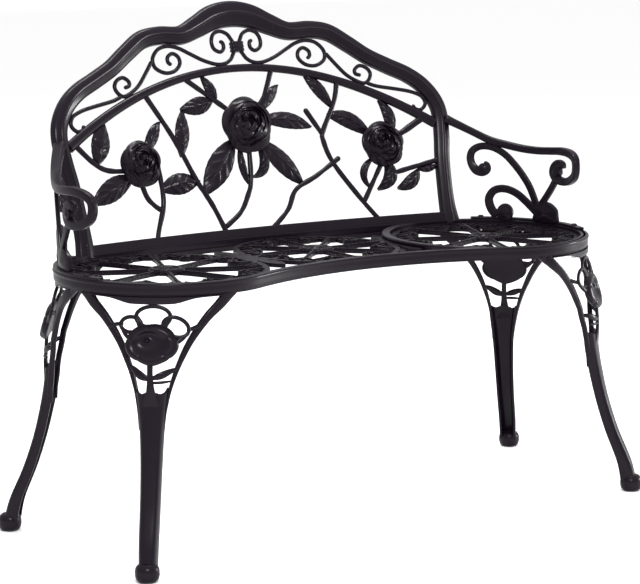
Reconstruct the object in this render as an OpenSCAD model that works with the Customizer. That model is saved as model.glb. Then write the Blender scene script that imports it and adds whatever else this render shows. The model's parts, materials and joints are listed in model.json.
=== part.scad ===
// Two-seat garden bench of cast, powder-coated aluminium.
// A kidney-shaped seat holds three openwork medallions. The bowed, leaning back is a
// wavy rail over an arch, with wire scrolls between them and rose branches below.
// Two arms end in volutes, and four cabriole legs carry a pierced flower panel.
// Millimetres. +X is the sitter's left seen from the front, +Y the back, +Z up.
// The origin lies on the floor under the middle of the whole bench.

/* [Seat] */

// Height of the top of the seat rim above the floor
seat_top = 416; // [394:1:440]

// Distance from the middle of the seat to the centre of each round end
lobe_x = 304; // [290:1:320]

// Radius of the two round ends of the seat
lobe_r = 170; // [164:1:176]

// How far the centres of the round ends sit in front of the seat's zero line
lobe_set = 40; // [35:1:44]

// Reach of the rear edge behind the zero line, at the middle
rear_mid = 152; // [149:0.5:156]

// Reach of the hollow front edge before the zero line, at the middle
front_mid = 142; // [136:1:146]

// Width of the rim, seen from above
rim_w = 14; // [12:0.5:16]

// Depth of the rim, from its top to its underside
rim_h = 20; // [19:0.5:24]

// Height of the bead along the rim's top edge
bead_h = 5; // [4:0.5:7]

// How far the bead stands proud of the rim's wall
bead_out = 1.5; // [1:0.1:2]

/* [Medallions] */

// Number of spokes in each medallion
spokes = 8; // [6:1:10]

// Thickness of the medallion castings
panel_t = 6; // [5:0.5:8]

// How far the medallions lie below the top of the rim
panel_drop = 6; // [4:0.5:8]

// Width of each medallion's outer ring
ring_w = 10; // [8:0.5:12]

// Radius of the ring around each hub
hub_r = 28; // [24:1:32]

// Height of the raised ribs, leaves and hub ring
relief = 1.6; // [1:0.1:2.4]

/* [Back] */

// Lean of the back from upright
back_angle = 17; // [12:0.5:20]

// Height of the rail's crest above the seat
crest_h = 358; // [340:1:380]

// Height of the arch's crown above the seat
arch_h = 270; // [264:1:274]

// Height at which the arch meets the posts
arch_end_h = 167; // [160:1:174]

// Depth of the top rail and posts, front to back
rail_depth = 19; // [16:0.5:22]

// Height of the arch's bar
arch_bar = 13; // [10:0.5:15]

// Height of the arch's bar where it meets the posts
arch_end_bar = 18; // [16:0.5:20]

// Height of the flat bar that closes the back at the seat
band_h = 17; // [14:0.5:20]

// Thickness of the flat bar at the seat
band_t = 10; // [8:0.5:12]

// Diameter of the scroll rods
rod_d = 6.6; // [5.5:0.1:7.5]

// Diameter of the rose branches
branch_d = 8.5; // [7:0.5:10]

// Thickness of the leaves at the middle rib
leaf_t = 6; // [5:0.5:8]

/* [Arms] */

// Width of the arm rail across the top
arm_w = 14; // [12:0.5:18]

// Thickness of the arm rail, seen from the side
arm_bar = 11; // [8:0.5:12]

// Thickness of the strip by which each arm stands on the rim
foot_strip_t = 4; // [3:0.5:6]

/* [Legs] */

// Distance from the centre of a round end to a foot
foot_reach = 251; // [240:1:258]

// Direction of the front legs, from straight sideways
front_leg_angle = 52; // [48:0.5:54]

// Direction of the rear legs, from straight sideways
rear_leg_angle = 40.5; // [34:0.5:42]

// How far the rear legs are set in toward the middle of their round end
rear_leg_in = 3; // [0:0.5:4]

// Radius of the rounded feet
foot_r = 18; // [16:0.5:20]

// Wall of the hollow shins
shin_wall = 3.6; // [3:0.1:5]

// Diameter of the bolts
bolt_d = 5; // [4:0.5:5.5]

/* [Parts] */

// Which sub-part to draw

/* [Hidden] */

$fn = 48;

// Colours of the coating and the fittings
coat = [0.17, 0.17, 0.19];
coat_light = [0.24, 0.24, 0.27];
steel = [0.6, 0.6, 0.62];
plastic = [0.1, 0.1, 0.1];

// Clearances
seat_gap = 0.3;
bolt_gap = 0.3;
overlap = 4;

// Height of the rim's top above the zero line of the back and the arms
pattern_set = 4;

// Curves and frames

function unit(v) = v / norm(v);

// Unit direction from an angle in the floor plane
function polar(a) = [cos(a), sin(a), 0];

// Point of a list, mirrored through the ends past them
function ext(p, i) = i < 0 ? 2 * p[0] - p[1]
  : i >= len(p) ? 2 * p[len(p) - 1] - p[len(p) - 2] : p[i];

// Smooth cubic between b and c that passes through both
function cubic(a, b, c, d, t) = 0.5 * (2 * b + (c - a) * t
  + (2 * a - 5 * b + 4 * c - d) * t * t + (3 * b - a - 3 * c + d) * t * t * t);

// A list of points with n steps between each pair, on one smooth curve
function smooth(p, n) = [for (i = [0:len(p) - 2], k = [0:n - 1])
  cubic(ext(p, i - 1), p[i], p[i + 1], ext(p, i + 2), k / n), p[len(p) - 1]];

function along(p, i) = unit(p[min(i + 1, len(p) - 1)] - p[max(i - 1, 0)]);

// Ring of section points around p, from the path's direction t and the face normal f
function ring(p, t, f, w, d, section) = let (g = unit(f - t * (f * t)), s = cross(t, g))
  [for (q = section) p + s * q[0] * w / 2 + g * q[1] * d / 2];

// Rings of a bar: points, normals, widths across and depths front to back
function bar(p, f, w, d, section) = [for (i = [0:len(p) - 1])
  ring(p[i], along(p, i), f[i], w[i], d[i], section)];

// Sections, in halves of the width and the depth
function round_section(n) = [for (i = [0:n - 1]) polar(360 * (i + 0.5) / n)];
rail_section = [[-0.95, -0.7], [0.95, -0.7], [1, 0.1], [0.65, 0.7], [0.1, 0.95],
  [-0.3, 1], [-0.8, 0.6], [-1, 0]];
flat_section = [[-1, -1], [1, -1], [1, 0.8], [0.8, 1], [-0.8, 1], [-1, 0.8]];
leaf_section = [[-1, 0.3], [0, -0.8], [1, 0.3], [0, 1]];

// Closed skin over rings of points, with flat ends or joined end to end
module skin(rings, closed = false) {
  n = len(rings[0]);
  m = len(rings);
  sides = [for (j = [0:m - (closed ? 1 : 2)], i = [0:n - 1])
    let (a = j * n + i, b = j * n + (i + 1) % n,
      c = ((j + 1) % m) * n + (i + 1) % n, d = ((j + 1) % m) * n + i)
    each [[a, b, c], [a, c, d]]];
  ends = closed ? [] : [[for (i = [n - 1:-1:0]) i], [for (i = [0:n - 1]) (m - 1) * n + i]];
  polyhedron(points = [for (r = rings) each r], faces = concat(sides, ends));
}

// Closed sheet between a front and a back grid of the same size
module sheet(front, back) {
  m = len(front);
  n = len(front[0]);
  k = m * n;
  cells = [for (j = [0:m - 2], i = [0:n - 2]) let (a = j * n + i)
    each [[a, a + n + 1, a + 1], [a, a + n, a + n + 1],
      [k + a, k + a + 1, k + a + n + 1], [k + a, k + a + n + 1, k + a + n]]];
  rows = [for (i = [0:n - 2]) let (a = i, b = (m - 1) * n + i)
    each [[a, k + a + 1, k + a], [a, a + 1, k + a + 1],
      [b, k + b, k + b + 1], [b, k + b + 1, b + 1]]];
  columns = [for (j = [0:m - 2]) let (a = j * n, b = j * n + n - 1)
    each [[a, k + a, k + a + n], [a, k + a + n, a + n],
      [b, k + b + n, k + b], [b, b + n, k + b + n]]];
  polyhedron(points = concat([for (r = front) each r], [for (r = back) each r]),
    faces = concat(cells, rows, columns));
}

// One casting from bars and sheets that run into each other
module cast() resize([0, 0, 0]) union() children();

// The first child as one casting, less the places that the others take
module cast_less() resize([0, 0, 0]) difference() {
  children(0);
  children([1:$children - 1]);
}

module on_both_sides() {
  children();
  mirror([1, 0, 0]) children();
}

// Seat outline: four arcs, each tangent to the next

lobe_y = -lobe_set;
rear_in = rear_mid + lobe_set - lobe_r;
rear_r = lobe_r + (lobe_x * lobe_x + rear_in * rear_in) / (2 * rear_in);
rear_y = rear_mid - rear_r;
rear_tangent = atan2(lobe_y - rear_y, lobe_x);
hollow = front_mid - lobe_set;
hollow_r = (lobe_x * lobe_x + hollow * hollow - lobe_r * lobe_r) / (2 * (lobe_r - hollow));
hollow_y = -front_mid - hollow_r;
front_tangent = atan2(hollow_y - lobe_y, -lobe_x);
lobe_steps = 28;
long_steps = 10;

function arc(x, y, r, from, to, n) = [for (i = [0:n - 1])
  [x, y] + r * [cos(from + (to - from) * i / n), sin(from + (to - from) * i / n)]];

function seat_edge(inset) = concat(
  arc(lobe_x, lobe_y, lobe_r - inset, front_tangent, rear_tangent, lobe_steps),
  arc(0, rear_y, rear_r - inset, rear_tangent, 180 - rear_tangent, long_steps),
  arc(-lobe_x, lobe_y, lobe_r - inset, 180 - rear_tangent, 180 - front_tangent, lobe_steps),
  arc(0, hollow_y, hollow_r + inset, -front_tangent, 180 + front_tangent, long_steps));

module seat_band(outer, inner) difference() {
  polygon(seat_edge(outer));
  polygon(seat_edge(inner));
}

// Places on the lobes, the back and the arms

rim_mid_r = lobe_r - rim_w / 2;
rim_under = seat_top - rim_h;

// Point by its direction around the right lobe, its distance and its height
function lobe_pt(a, r, z) = [lobe_x + r * cos(a), lobe_y + r * sin(a), z];

post_x = lobe_x + 50;
post_y = lobe_y + sqrt(pow(rim_mid_r, 2) - pow(post_x - lobe_x, 2));
back_mid_y = rear_mid - rim_w / 2;
back_r = post_x * post_x / (2 * (back_mid_y - post_y));
lean = tan(back_angle);

// The back's pattern was drawn at these sizes; its places follow the sizes that are set
drawn_post_x = 352;
drawn_crest = 358;
drawn_crown = 270;
drawn_arch_end = 167;
drawn_reach = 356;
pattern_x = post_x / drawn_post_x;
pattern_h = crest_h / drawn_crest;

function back_y(x, h) = back_mid_y - x * x / (2 * back_r) + lean * h;
function back_face(x) = unit([-x / back_r, -1, lean]);
function back_pt(x, h, out = 0) = [x, back_y(x, h), seat_top - pattern_set + h] + back_face(x) * out;
function on_back(p, out = 0) = back_pt(p[0] * pattern_x, p[1], out);

function back_bar(p, w, d, section, out = 0) =
  bar([for (q = p) on_back(q, out)], [for (q = p) back_face(q[0] * pattern_x)], w, d, section);

// Back: rails

// Right half of the top rail and post: across, height, width of the bar
rail_half = [[0, 358, 42], [36, 353, 40], [70, 339, 35], [104, 327, 30], [145, 328, 29],
  [180, 322, 29], [214, 302, 28], [246, 281, 27], [281, 264, 27], [316, 248, 27],
  [342, 229, 27], [360, 204, 27], [366, 178, 27], [363, 143, 27], [357, 108, 26],
  [353, 66, 26], [351, 28, 28], [352, -6, 33]];

// Mirrored and stretched to the crest; the lower end stays below the seat's top
rail_path = smooth([for (i = [1 - len(rail_half):len(rail_half) - 1]) let (q = rail_half[abs(i)])
  [sign(i) * q[0], q[1] * pattern_h, q[2]]], 2);

// Height of the rail at a place across, and place across of a post at a height
rail_table = [for (i = [0:10]) [rail_half[i][0], rail_half[i][1]]];
post_table = [for (i = [len(rail_half) - 1:-1:11]) [rail_half[i][1] * pattern_h, rail_half[i][0]]];
function rail_line(x) = lookup(abs(x), rail_table);
function post_line(h) = lookup(h, post_table);

cut_depth = 200;
module below_seat() translate([0, 0, seat_top - cut_depth / 2])
  cube([3 * lobe_x, 3 * lobe_x, cut_depth], center = true);

rail_rings = back_bar(rail_path, [for (q = rail_path) q[2]], [for (q = rail_path) rail_depth],
  rail_section);

module rail_solid() skin(rail_rings);

// The bench is moved so that its middle, front to back, is at the origin
foot_sides = 10;
front_most = lobe_y - foot_reach * sin(front_leg_angle)
  - foot_r * max([for (k = [1:foot_sides]) sin(front_leg_angle + k * 360 / foot_sides)]);
rear_most = max([for (q = rail_rings[(len(rail_rings) - 1) / 2]) q[1]]);
centre_y = (front_most + rear_most) / 2;

module placed(tint) color(tint) translate([0, -centre_y, 0]) children();

module post_bores(d, depth) on_both_sides()
  translate([post_x, post_y, rim_under]) cylinder(d = d, h = rim_h + depth);

post_bolt_in = 18;

module top_rail() placed(coat) cast_less() {
  rail_solid();
  below_seat();
  post_bores(bolt_d + 2 * bolt_gap, post_bolt_in, $fn = 14);
}

// The arch is a parabola that ends inside the posts
arch_steps = 18;
arch_in = 9;
arch_reach = post_line(arch_end_h) - arch_in;
function arch_line(x) = arch_h - (arch_h - arch_end_h) * pow(x / arch_reach, 2);
function drawn_arch(x) = drawn_crown - (drawn_crown - drawn_arch_end) * pow(x / drawn_reach, 2);
arch_path = [for (i = [0:arch_steps]) let (x = arch_reach * (2 * i / arch_steps - 1))
  [x, arch_line(x)]];

// Places between the arch and the rail keep their share of the height there
function over_arch(p) = let (a = arch_line(p[0]), d = drawn_arch(p[0]), t = rail_line(p[0]))
  [p[0], a + (p[1] - d) * (t * pattern_h - a) / (t - d)];

// Places below the arch keep their share of the height up to it
function under_arch(p) = [p[0], p[1] * arch_line(p[0]) / drawn_arch(p[0])];

// The bar grows toward the posts, mostly downward
arch_sag = 0.9;
function arch_width(x) = arch_bar + (arch_end_bar - arch_bar) * pow(x / arch_reach, 2);
arch_bar_path = [for (q = arch_path) [q[0], q[1] - arch_sag * (arch_width(q[0]) - arch_bar)]];

module arch_solid() skin(back_bar(arch_bar_path, [for (q = arch_path) arch_width(q[0])],
  [for (q = arch_path) arch_bar * 0.9], round_section(6)));

module arch_rail() placed(coat) cast_less() {
  arch_solid();
  rail_solid();
}

band_steps = 12;
band_path = [for (i = [0:band_steps]) [drawn_post_x * (2 * i / band_steps - 1), band_h / 2]];

module band_solid() skin(back_bar(band_path, [for (q = band_path) band_h],
  [for (q = band_path) band_t], flat_section));

module back_band() placed(coat) cast_less() {
  band_solid();
  below_seat();
  rail_solid();
}

// Back: wire scrolls between the rail and the arch

// Points of the right-hand scrolls: across, height
curl_top = [[4, 308], [8, 315], [15, 325], [28, 330], [41, 326], [47, 315], [45, 303],
  [34, 297], [26, 302], [26, 311], [32, 314]];
curl_long = [[4, 300], [9, 293], [16, 284], [29, 278], [46, 278], [69, 285], [94, 297],
  [113, 306], [133, 310], [152, 306], [165, 293], [165, 280], [156, 272], [142, 268],
  [126, 271], [115, 281], [116, 292], [126, 298], [136, 293], [137, 285], [131, 280]];
curl_mid = [[168, 288], [184, 269], [201, 251], [219, 240], [233, 236], [243, 242], [247, 252],
  [241, 261], [229, 265], [219, 259], [219, 252], [229, 249]];
curl_end = [[237, 236], [256, 230], [291, 224], [316, 219], [334, 212], [341, 203], [340, 195],
  [331, 188], [321, 190], [317, 197]];

module rod(points, n) let (p = smooth([for (q = points) over_arch(q)], n)) skin(back_bar(p, [for (q = p) rod_d],
  [for (q = p) rod_d], round_section(5)));

collar_size = [24, 12, 16];
collar_h = 304;
collar_ribs = 3;
collar_rib_t = 3;

module at_collar() translate(on_back(over_arch([0, collar_h]))) rotate([-back_angle, 0, 0]) children();

module collar() placed(coat_light) at_collar() {
  cube(collar_size, center = true);
  for (i = [0:collar_ribs - 1])
    translate([0, 0, (i / (collar_ribs - 1) - 0.5) * (collar_size[2] - collar_rib_t)])
      cube([collar_size[0] + 3, collar_size[1] + 3, collar_rib_t], center = true);
}

module scroll_rods() {
  rod(curl_top, 2);
  rod(curl_long, 2);
  rod(curl_mid, 2);
  rod(curl_end, 2);
}

module scrolls_right() placed(coat_light) cast_less() {
  scroll_rods();
  rail_solid();
  arch_solid();
  at_collar() cube([collar_size[0] + 3, collar_size[1] + 3, collar_size[2]], center = true);
}

module scrolls_left() mirror([1, 0, 0]) scrolls_right();

// Back: branches, leaves and roses

// Branches: points across and in height, from the photograph's pattern
left_branches = [
  [[-342, 170], [-315, 143], [-297, 130], [-277, 124], [-247, 122]],
  [[-190, 128], [-188, 103], [-190, 66], [-206, 29], [-214, 8]],
  [[-228, 112], [-220, 81], [-208, 66], [-194, 56]],
  [[-194, 239], [-150, 165], [-120, 99], [-96, 56], [-76, 8]]];
center_branches = [
  [[-78, 21], [-45, 42], [-26, 67], [-15, 92], [-8, 150]],
  [[-112, 258], [-31, 200]],
  [[59, 266], [36, 222], [12, 198]]];
right_branches = [
  [[6, 8], [46, 39], [68, 70], [112, 90], [162, 117]],
  [[181, 242], [168, 207], [139, 162], [136, 145], [148, 108], [188, 49], [220, 8]],
  [[110, 199], [136, 156]],
  [[246, 112], [194, 42]],
  [[338, 178], [286, 151], [262, 145]],
  [[350, 104], [304, 95], [256, 85]]];

// Leaves: base, middle and tip, then the width
left_leaves = [
  [[-301, 136], [-291, 166], [-276, 199], 38],
  [[-235, 112], [-282, 96], [-320, 78], 36],
  [[-209, 143], [-190, 171], [-170, 193], 23],
  [[-187, 88], [-152, 95], [-112, 97], 34],
  [[-138, 136], [-132, 172], [-122, 208], 30],
  [[-62, 220], [-92, 214], [-126, 210], 28],
  [[-55, 218], [-64, 238], [-76, 262], 22]];
center_leaves = [
  [[14, 194], [44, 220], [68, 240], 21],
  [[20, 181], [74, 176], [119, 170], 28],
  [[-33, 157], [-71, 116], [-104, 76], 42],
  [[-22, 150], [-27, 114], [-16, 84], 16],
  [[10, 156], [16, 114], [-8, 96], 18],
  [[13, 158], [51, 115], [86, 80], 36]];
right_leaves = [
  [[167, 198], [143, 230], [121, 256], 25],
  [[231, 150], [192, 176], [153, 188], 27],
  [[265, 146], [269, 179], [255, 208], 25],
  [[231, 115], [203, 90], [214, 64], 15],
  [[253, 113], [262, 80], [226, 62], 24],
  [[312, 90], [292, 70], [264, 60], 25],
  [[308, 92], [326, 90], [348, 97], 12]];

module branch(points) let (p = smooth([for (q = points) under_arch(q)], 2)) skin(back_bar(p, [for (q = p) branch_d],
  [for (q = p) branch_d], round_section(5)));

// A leaf is a lens in outline, with a raised middle rib and a sharp tip
leaf_steps = 6;
function leaf_share(t) = 0.08 + 0.92 * pow(sin(180 * (0.06 + 0.92 * t)), 0.8);
module leaf(base, middle, tip, width) let (
  p = [for (i = [0:leaf_steps]) let (t = i / leaf_steps)
    under_arch(base * (1 - t) * (1 - 2 * t) + middle * 4 * t * (1 - t) + tip * t * (2 * t - 1))],
  w = [for (i = [0:leaf_steps]) width * leaf_share(i / leaf_steps)],
  d = [for (i = [0:leaf_steps]) leaf_t * (0.6 + 0.4 * leaf_share(i / leaf_steps))])
  skin(back_bar(p, w, d, leaf_section, 1));

module vine(branches, leaves) {
  for (b = branches) branch(b);
  for (l = leaves) leaf(l[0], l[1], l[2], l[3]);
}

// Roses: place on the back, radius
rose_spots = [[-227, 130, 37], [-11, 178, 46], [243, 134, 38]];
rose_base = -4;

// Each layer of a rose is a cup with a rolled lip. Its petals swell and lift toward one
// side, so that each seems to lie over the next: radius and height of the rings, as shares
// of the layer's own radius and height.
rose_rings = [[0.72, 0, 0], [0.86, 0.45, 0.4], [1, 0.75, 1], [0.9, 1, 1], [0.6, 0.65, 0]];
rose_layers = [[1, 0, 15, 5], [0.74, 9, 11, 4], [0.46, 15, 10, 3]];
petal_points = 4;
petal_dip = 0.2;
petal_lift = 3;

function rose_layer(r, l) = let (n = l[3] * petal_points)
  [for (q = rose_rings) [for (i = [0:n - 1]) let (
    t = (i % petal_points) / petal_points,
    swell = 1 - petal_dip * q[2] * (1 - pow(sin(180 * (0.12 + 0.7 * t)), 0.7)),
    a = -360 * i / n - 40 * l[0])
    [r * l[0] * q[0] * swell * cos(a), r * l[0] * q[0] * swell * sin(a),
      l[1] + l[2] * q[1] + petal_lift * q[2] * (t - 0.4)]]];

module rose_solid(r) {
  for (l = rose_layers) skin(rose_layer(r, l));
  skin([for (q = [[0.24, 15], [0.26, 20], [0.17, 25], [0.04, 26]])
    [for (a = [0:60:300]) [r * q[0] * cos(-a - q[1] * 5), r * q[0] * sin(-a - q[1] * 5), q[1]]]]);
}

module at_rose(i) let (s = rose_spots[i], f = back_face(s[0] * pattern_x))
  translate(on_back(under_arch(s), rose_base)) rotate([90, 0, 0]) rotate([-back_angle, 0, 0])
    rotate([0, asin(f[0]), 0]) children();

module rose(i) placed(coat) cast() at_rose(i) rose_solid(rose_spots[i][2]);

module vine_left() placed(coat_light) cast_less() {
  vine(left_branches, left_leaves);
  rail_solid();
  arch_solid();
  band_solid();
  rose_hull(0);
}

// Outer form of a rose, by which the branches and leaves stop
module rose_hull(i) at_rose(i) rose_solid(rose_spots[i][2]);

module vine_center() placed(coat_light) cast_less() {
  vine(center_branches, center_leaves);
  rail_solid();
  arch_solid();
  band_solid();
  rose_hull(1);
  vine(left_branches, left_leaves);
}

module vine_right() placed(coat_light) cast_less() {
  vine(right_branches, right_leaves);
  rail_solid();
  arch_solid();
  band_solid();
  rose_hull(2);
  vine(center_branches, center_leaves);
}

// Arms

flare_from = 15;
arm_end_h = 172;
arm_in = 4;
arm_turn = 3.5;
arm_short = 2;

// The arm stands over the rim's middle line and spreads to the middle of the post
arm_end = on_back([post_line(arm_end_h), arm_end_h]) - [lobe_x, lobe_y, 0];
arm_end_a = atan2(arm_end[1], arm_end[0]);
arm_flare = norm([arm_end[0], arm_end[1]]) - rim_mid_r + arm_in;
function arm_r(a, h) = rim_mid_r - arm_in + arm_flare * pow(max(a - flare_from, 0)
  / (arm_end_a - flare_from), 2) * h / arm_end_h;
function arm_pt(a, h, out = 0) = lobe_pt(a + arm_turn * (1 - a / arm_end_a),
  arm_r(a, h) + out, seat_top - pattern_set + h);

function arm_rings(p, w, d, section) = bar([for (q = p) arm_pt(q[0], q[1])],
  [for (q = p) polar(q[0])], w, d, section);

// Points of the arm: direction around the lobe, height, then the bar's thickness share
arm_rail = [[arm_end_a - arm_short, arm_end_h, 0.9], [67, 165, 1], [58, 151, 1], [48, 138, 1], [37, 131, 1],
  [26, 126.5, 1], [15, 125, 1], [4, 126.5, 1.05], [-5, 128, 1.1], [-13.5, 125, 1.15],
  [-20, 118, 1.2], [-22.5, 106, 1.2], [-20.5, 93, 1.15], [-14, 83.5, 1.1], [-7, 80, 1],
  [-1, 82, 1], [2.5, 90, 1], [1, 98, 1]];
arm_strut = [[0, 79], [5, 59], [12, 34]];
arm_scroll = [[15, 28], [20.5, 60], [26, 81], [32, 99], [38, 114], [44.5, 124], [50, 127.5],
  [54.5, 126], [58, 119], [59, 108], [58, 94], [55.5, 84], [52, 82]];
arm_low_scroll = [[14, 16], [22.5, 35], [29, 48], [35, 55], [40.5, 56.5], [45, 52], [47, 41],
  [46, 28], [42.5, 17]];
volutes = [[-3, 100, 12], [51, 91, 11]];
disc_spot = [37.5, 16, 15.5];
cluster = [[18, 36], [9, 40], [4.5, 38], [-0.5, 30], [-2, 21], [-1, 4], [17, 4], [19, 20]];
cluster_mid = [9, 20];
strip_from = -24;
strip_to = 60;
strip_steps = 12;
strip_w = 12;
scroll_bar = 13;
scroll_t = 6;
cluster_t = 8;

module arm_tube(p, w, d, section) skin(arm_rings(p, [for (q = p) w * (len(q) > 2 ? q[2] : 1)],
  [for (q = p) d], section));

// Round button at the end of a scroll
module button(a, h, r, t) translate(arm_pt(a, h)) rotate([0, 0, a]) rotate([0, 90, 0]) {
  cylinder(r = r, h = t, center = true, $fn = 12);
  cylinder(r = r * 0.6, h = t + 4, center = true, $fn = 8);
}

// Plate over a star-shaped outline
module arm_plate(outline, mid, t) {
  n = len(outline);
  front = [for (q = outline) arm_pt(q[0], q[1], t / 2)];
  back = [for (q = outline) arm_pt(q[0], q[1], -t / 2)];
  faces = [for (i = [0:n - 1]) let (j = (i + 1) % n)
    each [[2 * n, j, i], [2 * n + 1, n + i, n + j], [i, n + j, n + i], [i, j, n + j]]];
  polyhedron(points = concat(front, back, [arm_pt(mid[0], mid[1], t / 2 + 2),
    arm_pt(mid[0], mid[1], -t / 2 - 2)]), faces = faces);
}

arm_bolt_angles = [-14, 54];

module at_arm_bolts() for (a = arm_bolt_angles)
  translate(lobe_pt(a, rim_mid_r, seat_top)) children();

module arm_strip() {
  function edge(i, r, z) = lobe_pt(strip_from + (strip_to - strip_from) * i / strip_steps, r, z);
  skin([for (i = [0:strip_steps]) [edge(i, rim_mid_r - strip_w / 2, seat_top),
    edge(i, rim_mid_r + strip_w / 2, seat_top),
    edge(i, rim_mid_r + strip_w / 2, seat_top + foot_strip_t),
    edge(i, rim_mid_r - strip_w / 2, seat_top + foot_strip_t)]]);
}

module arm_solid() {
  arm_tube(smooth(arm_rail, 2), arm_bar, arm_w, round_section(6));
  arm_tube(smooth(arm_strut, 1), scroll_bar, scroll_t, round_section(5));
  arm_tube(smooth(arm_scroll, 2), scroll_bar, scroll_t, round_section(5));
  arm_tube(smooth(arm_low_scroll, 2), scroll_bar, scroll_t, round_section(5));
  button(volutes[0][0], volutes[0][1], volutes[0][2], arm_w - 2);
  button(volutes[1][0], volutes[1][1], volutes[1][2], scroll_t + 2);
  button(disc_spot[0], disc_spot[1], disc_spot[2], cluster_t);
  arm_plate(cluster, cluster_mid, cluster_t);
  arm_strip();
}

module armrest_right() placed(coat) cast_less() {
  arm_solid();
  below_seat();
  rail_solid();
  at_arm_bolts() cylinder(d = bolt_d + 2 * bolt_gap, h = foot_strip_t * 4, center = true, $fn = 12);
}

module armrest_left() mirror([1, 0, 0]) armrest_right();

// Seat

bolt_in_rim = 14;
head_h = 4;
head_af = 8;
washer_t = 1.2;
washer_d = 10;
sink_d = 12;
leg_angles = [-front_leg_angle, rear_leg_angle];
leg_bolt_spread = 13;

// Ledge inside the rim that carries the medallions
ledge_t = 4;
ledge_w = 5;

leg_bolt_r = rim_mid_r - 2.5;

// The right-hand legs' places: turned about the round end, the rear one set in
module at_legs() for (i = [0, 1]) translate([lobe_x, lobe_y, 0]) rotate(leg_angles[i])
  translate([-i * rear_leg_in, 0, 0]) children();

module at_leg_bolts() at_legs() for (s = [-1, 1]) rotate(s * leg_bolt_spread)
  translate([leg_bolt_r, 0, rim_under]) children();

module seat_rim() placed(coat) difference() {
  union() {
    translate([0, 0, rim_under]) linear_extrude(rim_h - bead_h) seat_band(bead_out, rim_w);
    translate([0, 0, seat_top - bead_h]) linear_extrude(bead_h - 1) seat_band(0, rim_w);
    translate([0, 0, seat_top - 1]) linear_extrude(1) seat_band(1, rim_w);
    translate([0, 0, seat_top - panel_drop - panel_t - ledge_t]) linear_extrude(ledge_t)
      seat_band(rim_w - 1, rim_w + ledge_w);
  }
  on_both_sides() {
    at_leg_bolts() cylinder(d = bolt_d + 2 * bolt_gap, h = bolt_in_rim);
    at_arm_bolts() translate([0, 0, -bolt_in_rim]) cylinder(d = bolt_d + 2 * bolt_gap,
      h = bolt_in_rim + 1);
  }
  translate([0, 0, -1]) post_bores(bolt_d + 2 * bolt_gap, 2);
  on_both_sides() translate([post_x, post_y, rim_under - 1])
    cylinder(d = sink_d, h = 1 + head_h + washer_t + 1);
}

// Medallion: ring, spokes, hub and a border of leaves and blossoms
panel_top = seat_top - panel_drop;
end_ring_r = lobe_r - rim_w - seat_gap;
mid_ring_y = (rear_mid - front_mid) / 2;
mid_ring_r = (rear_mid + front_mid) / 2 - rim_w - seat_gap;

module spoke_shape(r) polygon([[hub_r - 4, -6], [hub_r + 16, -3.2], [r * 0.62, -3],
  [r - ring_w, -8], [r - ring_w / 2, -8], [r - ring_w / 2, 8], [r - ring_w, 8],
  [r * 0.62, 3], [hub_r + 16, 3.2], [hub_r - 4, 6]]);

module lens(length, width) let (r = (length * length / width + width) / 4)
  translate([length / 2, 0]) intersection() {
    translate([0, r - width / 2]) circle(r);
    translate([0, width / 2 - r]) circle(r);
  }

border_leaf = [36, 15];
border_turn = 52;

module border_shape(r) for (i = [0:spokes - 1]) rotate((i + 0.5) * 360 / spokes) {
  for (s = [-1, 1]) {
    translate([r - ring_w - 27, s * 5]) rotate(s * border_turn) lens(border_leaf[0], border_leaf[1]);
    translate([r - ring_w + 2, s * 26]) rotate(180 - s * 24) lens(border_leaf[0], border_leaf[1]);
  }
  translate([r - ring_w - 12, 0]) square([26, 7], center = true);
  translate([r - ring_w - 26, 0]) circle(10);
}

module rib_shape(r) for (i = [0:spokes - 1]) {
  rotate(i * 360 / spokes) translate([hub_r, -1.4]) square([r - hub_r - ring_w, 2.8]);
  rotate((i + 0.5) * 360 / spokes) for (s = [-1, 1]) {
    translate([r - ring_w - 27, s * 5]) rotate(s * border_turn) translate([4, -1]) square([28, 2]);
    translate([r - ring_w + 2, s * 26]) rotate(180 - s * 24) translate([4, -1]) square([28, 2]);
  }
}

module medallion(r) {
  translate([0, 0, panel_top - panel_t]) linear_extrude(panel_t) {
    difference() {
      circle(r);
      circle(r - ring_w);
    }
    circle(hub_r);
    for (i = [0:spokes - 1]) rotate(i * 360 / spokes) spoke_shape(r);
    border_shape(r);
    children();
  }
  translate([0, 0, panel_top]) linear_extrude(relief) rib_shape(r);
  translate([0, 0, panel_top]) rotate_extrude() polygon([[0, -1], [hub_r - 2, -1], [hub_r - 2, 0],
    [hub_r - 4, relief + 1], [hub_r - 8, relief + 1], [hub_r - 10, 0.8], [13, 0.8], [9, 4], [0, 5]]);
  for (i = [0:spokes - 1]) rotate((i + 0.5) * 360 / spokes) translate([r - ring_w - 26, 0, panel_top])
    blossom();
}

// Small blossom: five round petals and an eye
module blossom() union($fn = 14) {
  for (k = [0:4]) rotate(72 * k) translate([5, 0, -0.5]) cylinder(r = 3.2, h = relief + 0.5);
  cylinder(r = 2.6, h = relief + 1.2);
}

medallion_turn = 22.5;

module medallion_right() placed(coat_light) translate([lobe_x, lobe_y, 0])
  rotate(medallion_turn) medallion(end_ring_r);

module medallion_left() mirror([1, 0, 0]) medallion_right();

// Plates that fill the two gaps beside the middle medallion, front and rear
link_gap = norm([lobe_x, lobe_y - mid_ring_y]) - end_ring_r - mid_ring_r;
link_angle = atan2(lobe_y - mid_ring_y, lobe_x);

module link_shape() for (m = [0, 1]) mirror([m, 0]) rotate(link_angle) difference() {
  union() {
    translate([mid_ring_r + link_gap / 2, 0]) square([link_gap + 16, 62], center = true);
    for (s = [-1, 1]) translate([mid_ring_r + link_gap / 2, s * 20]) rotate(s * 90) lens(64, 26);
  }
  translate([mid_ring_r + link_gap + end_ring_r, 0]) circle(end_ring_r + seat_gap);
}

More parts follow.
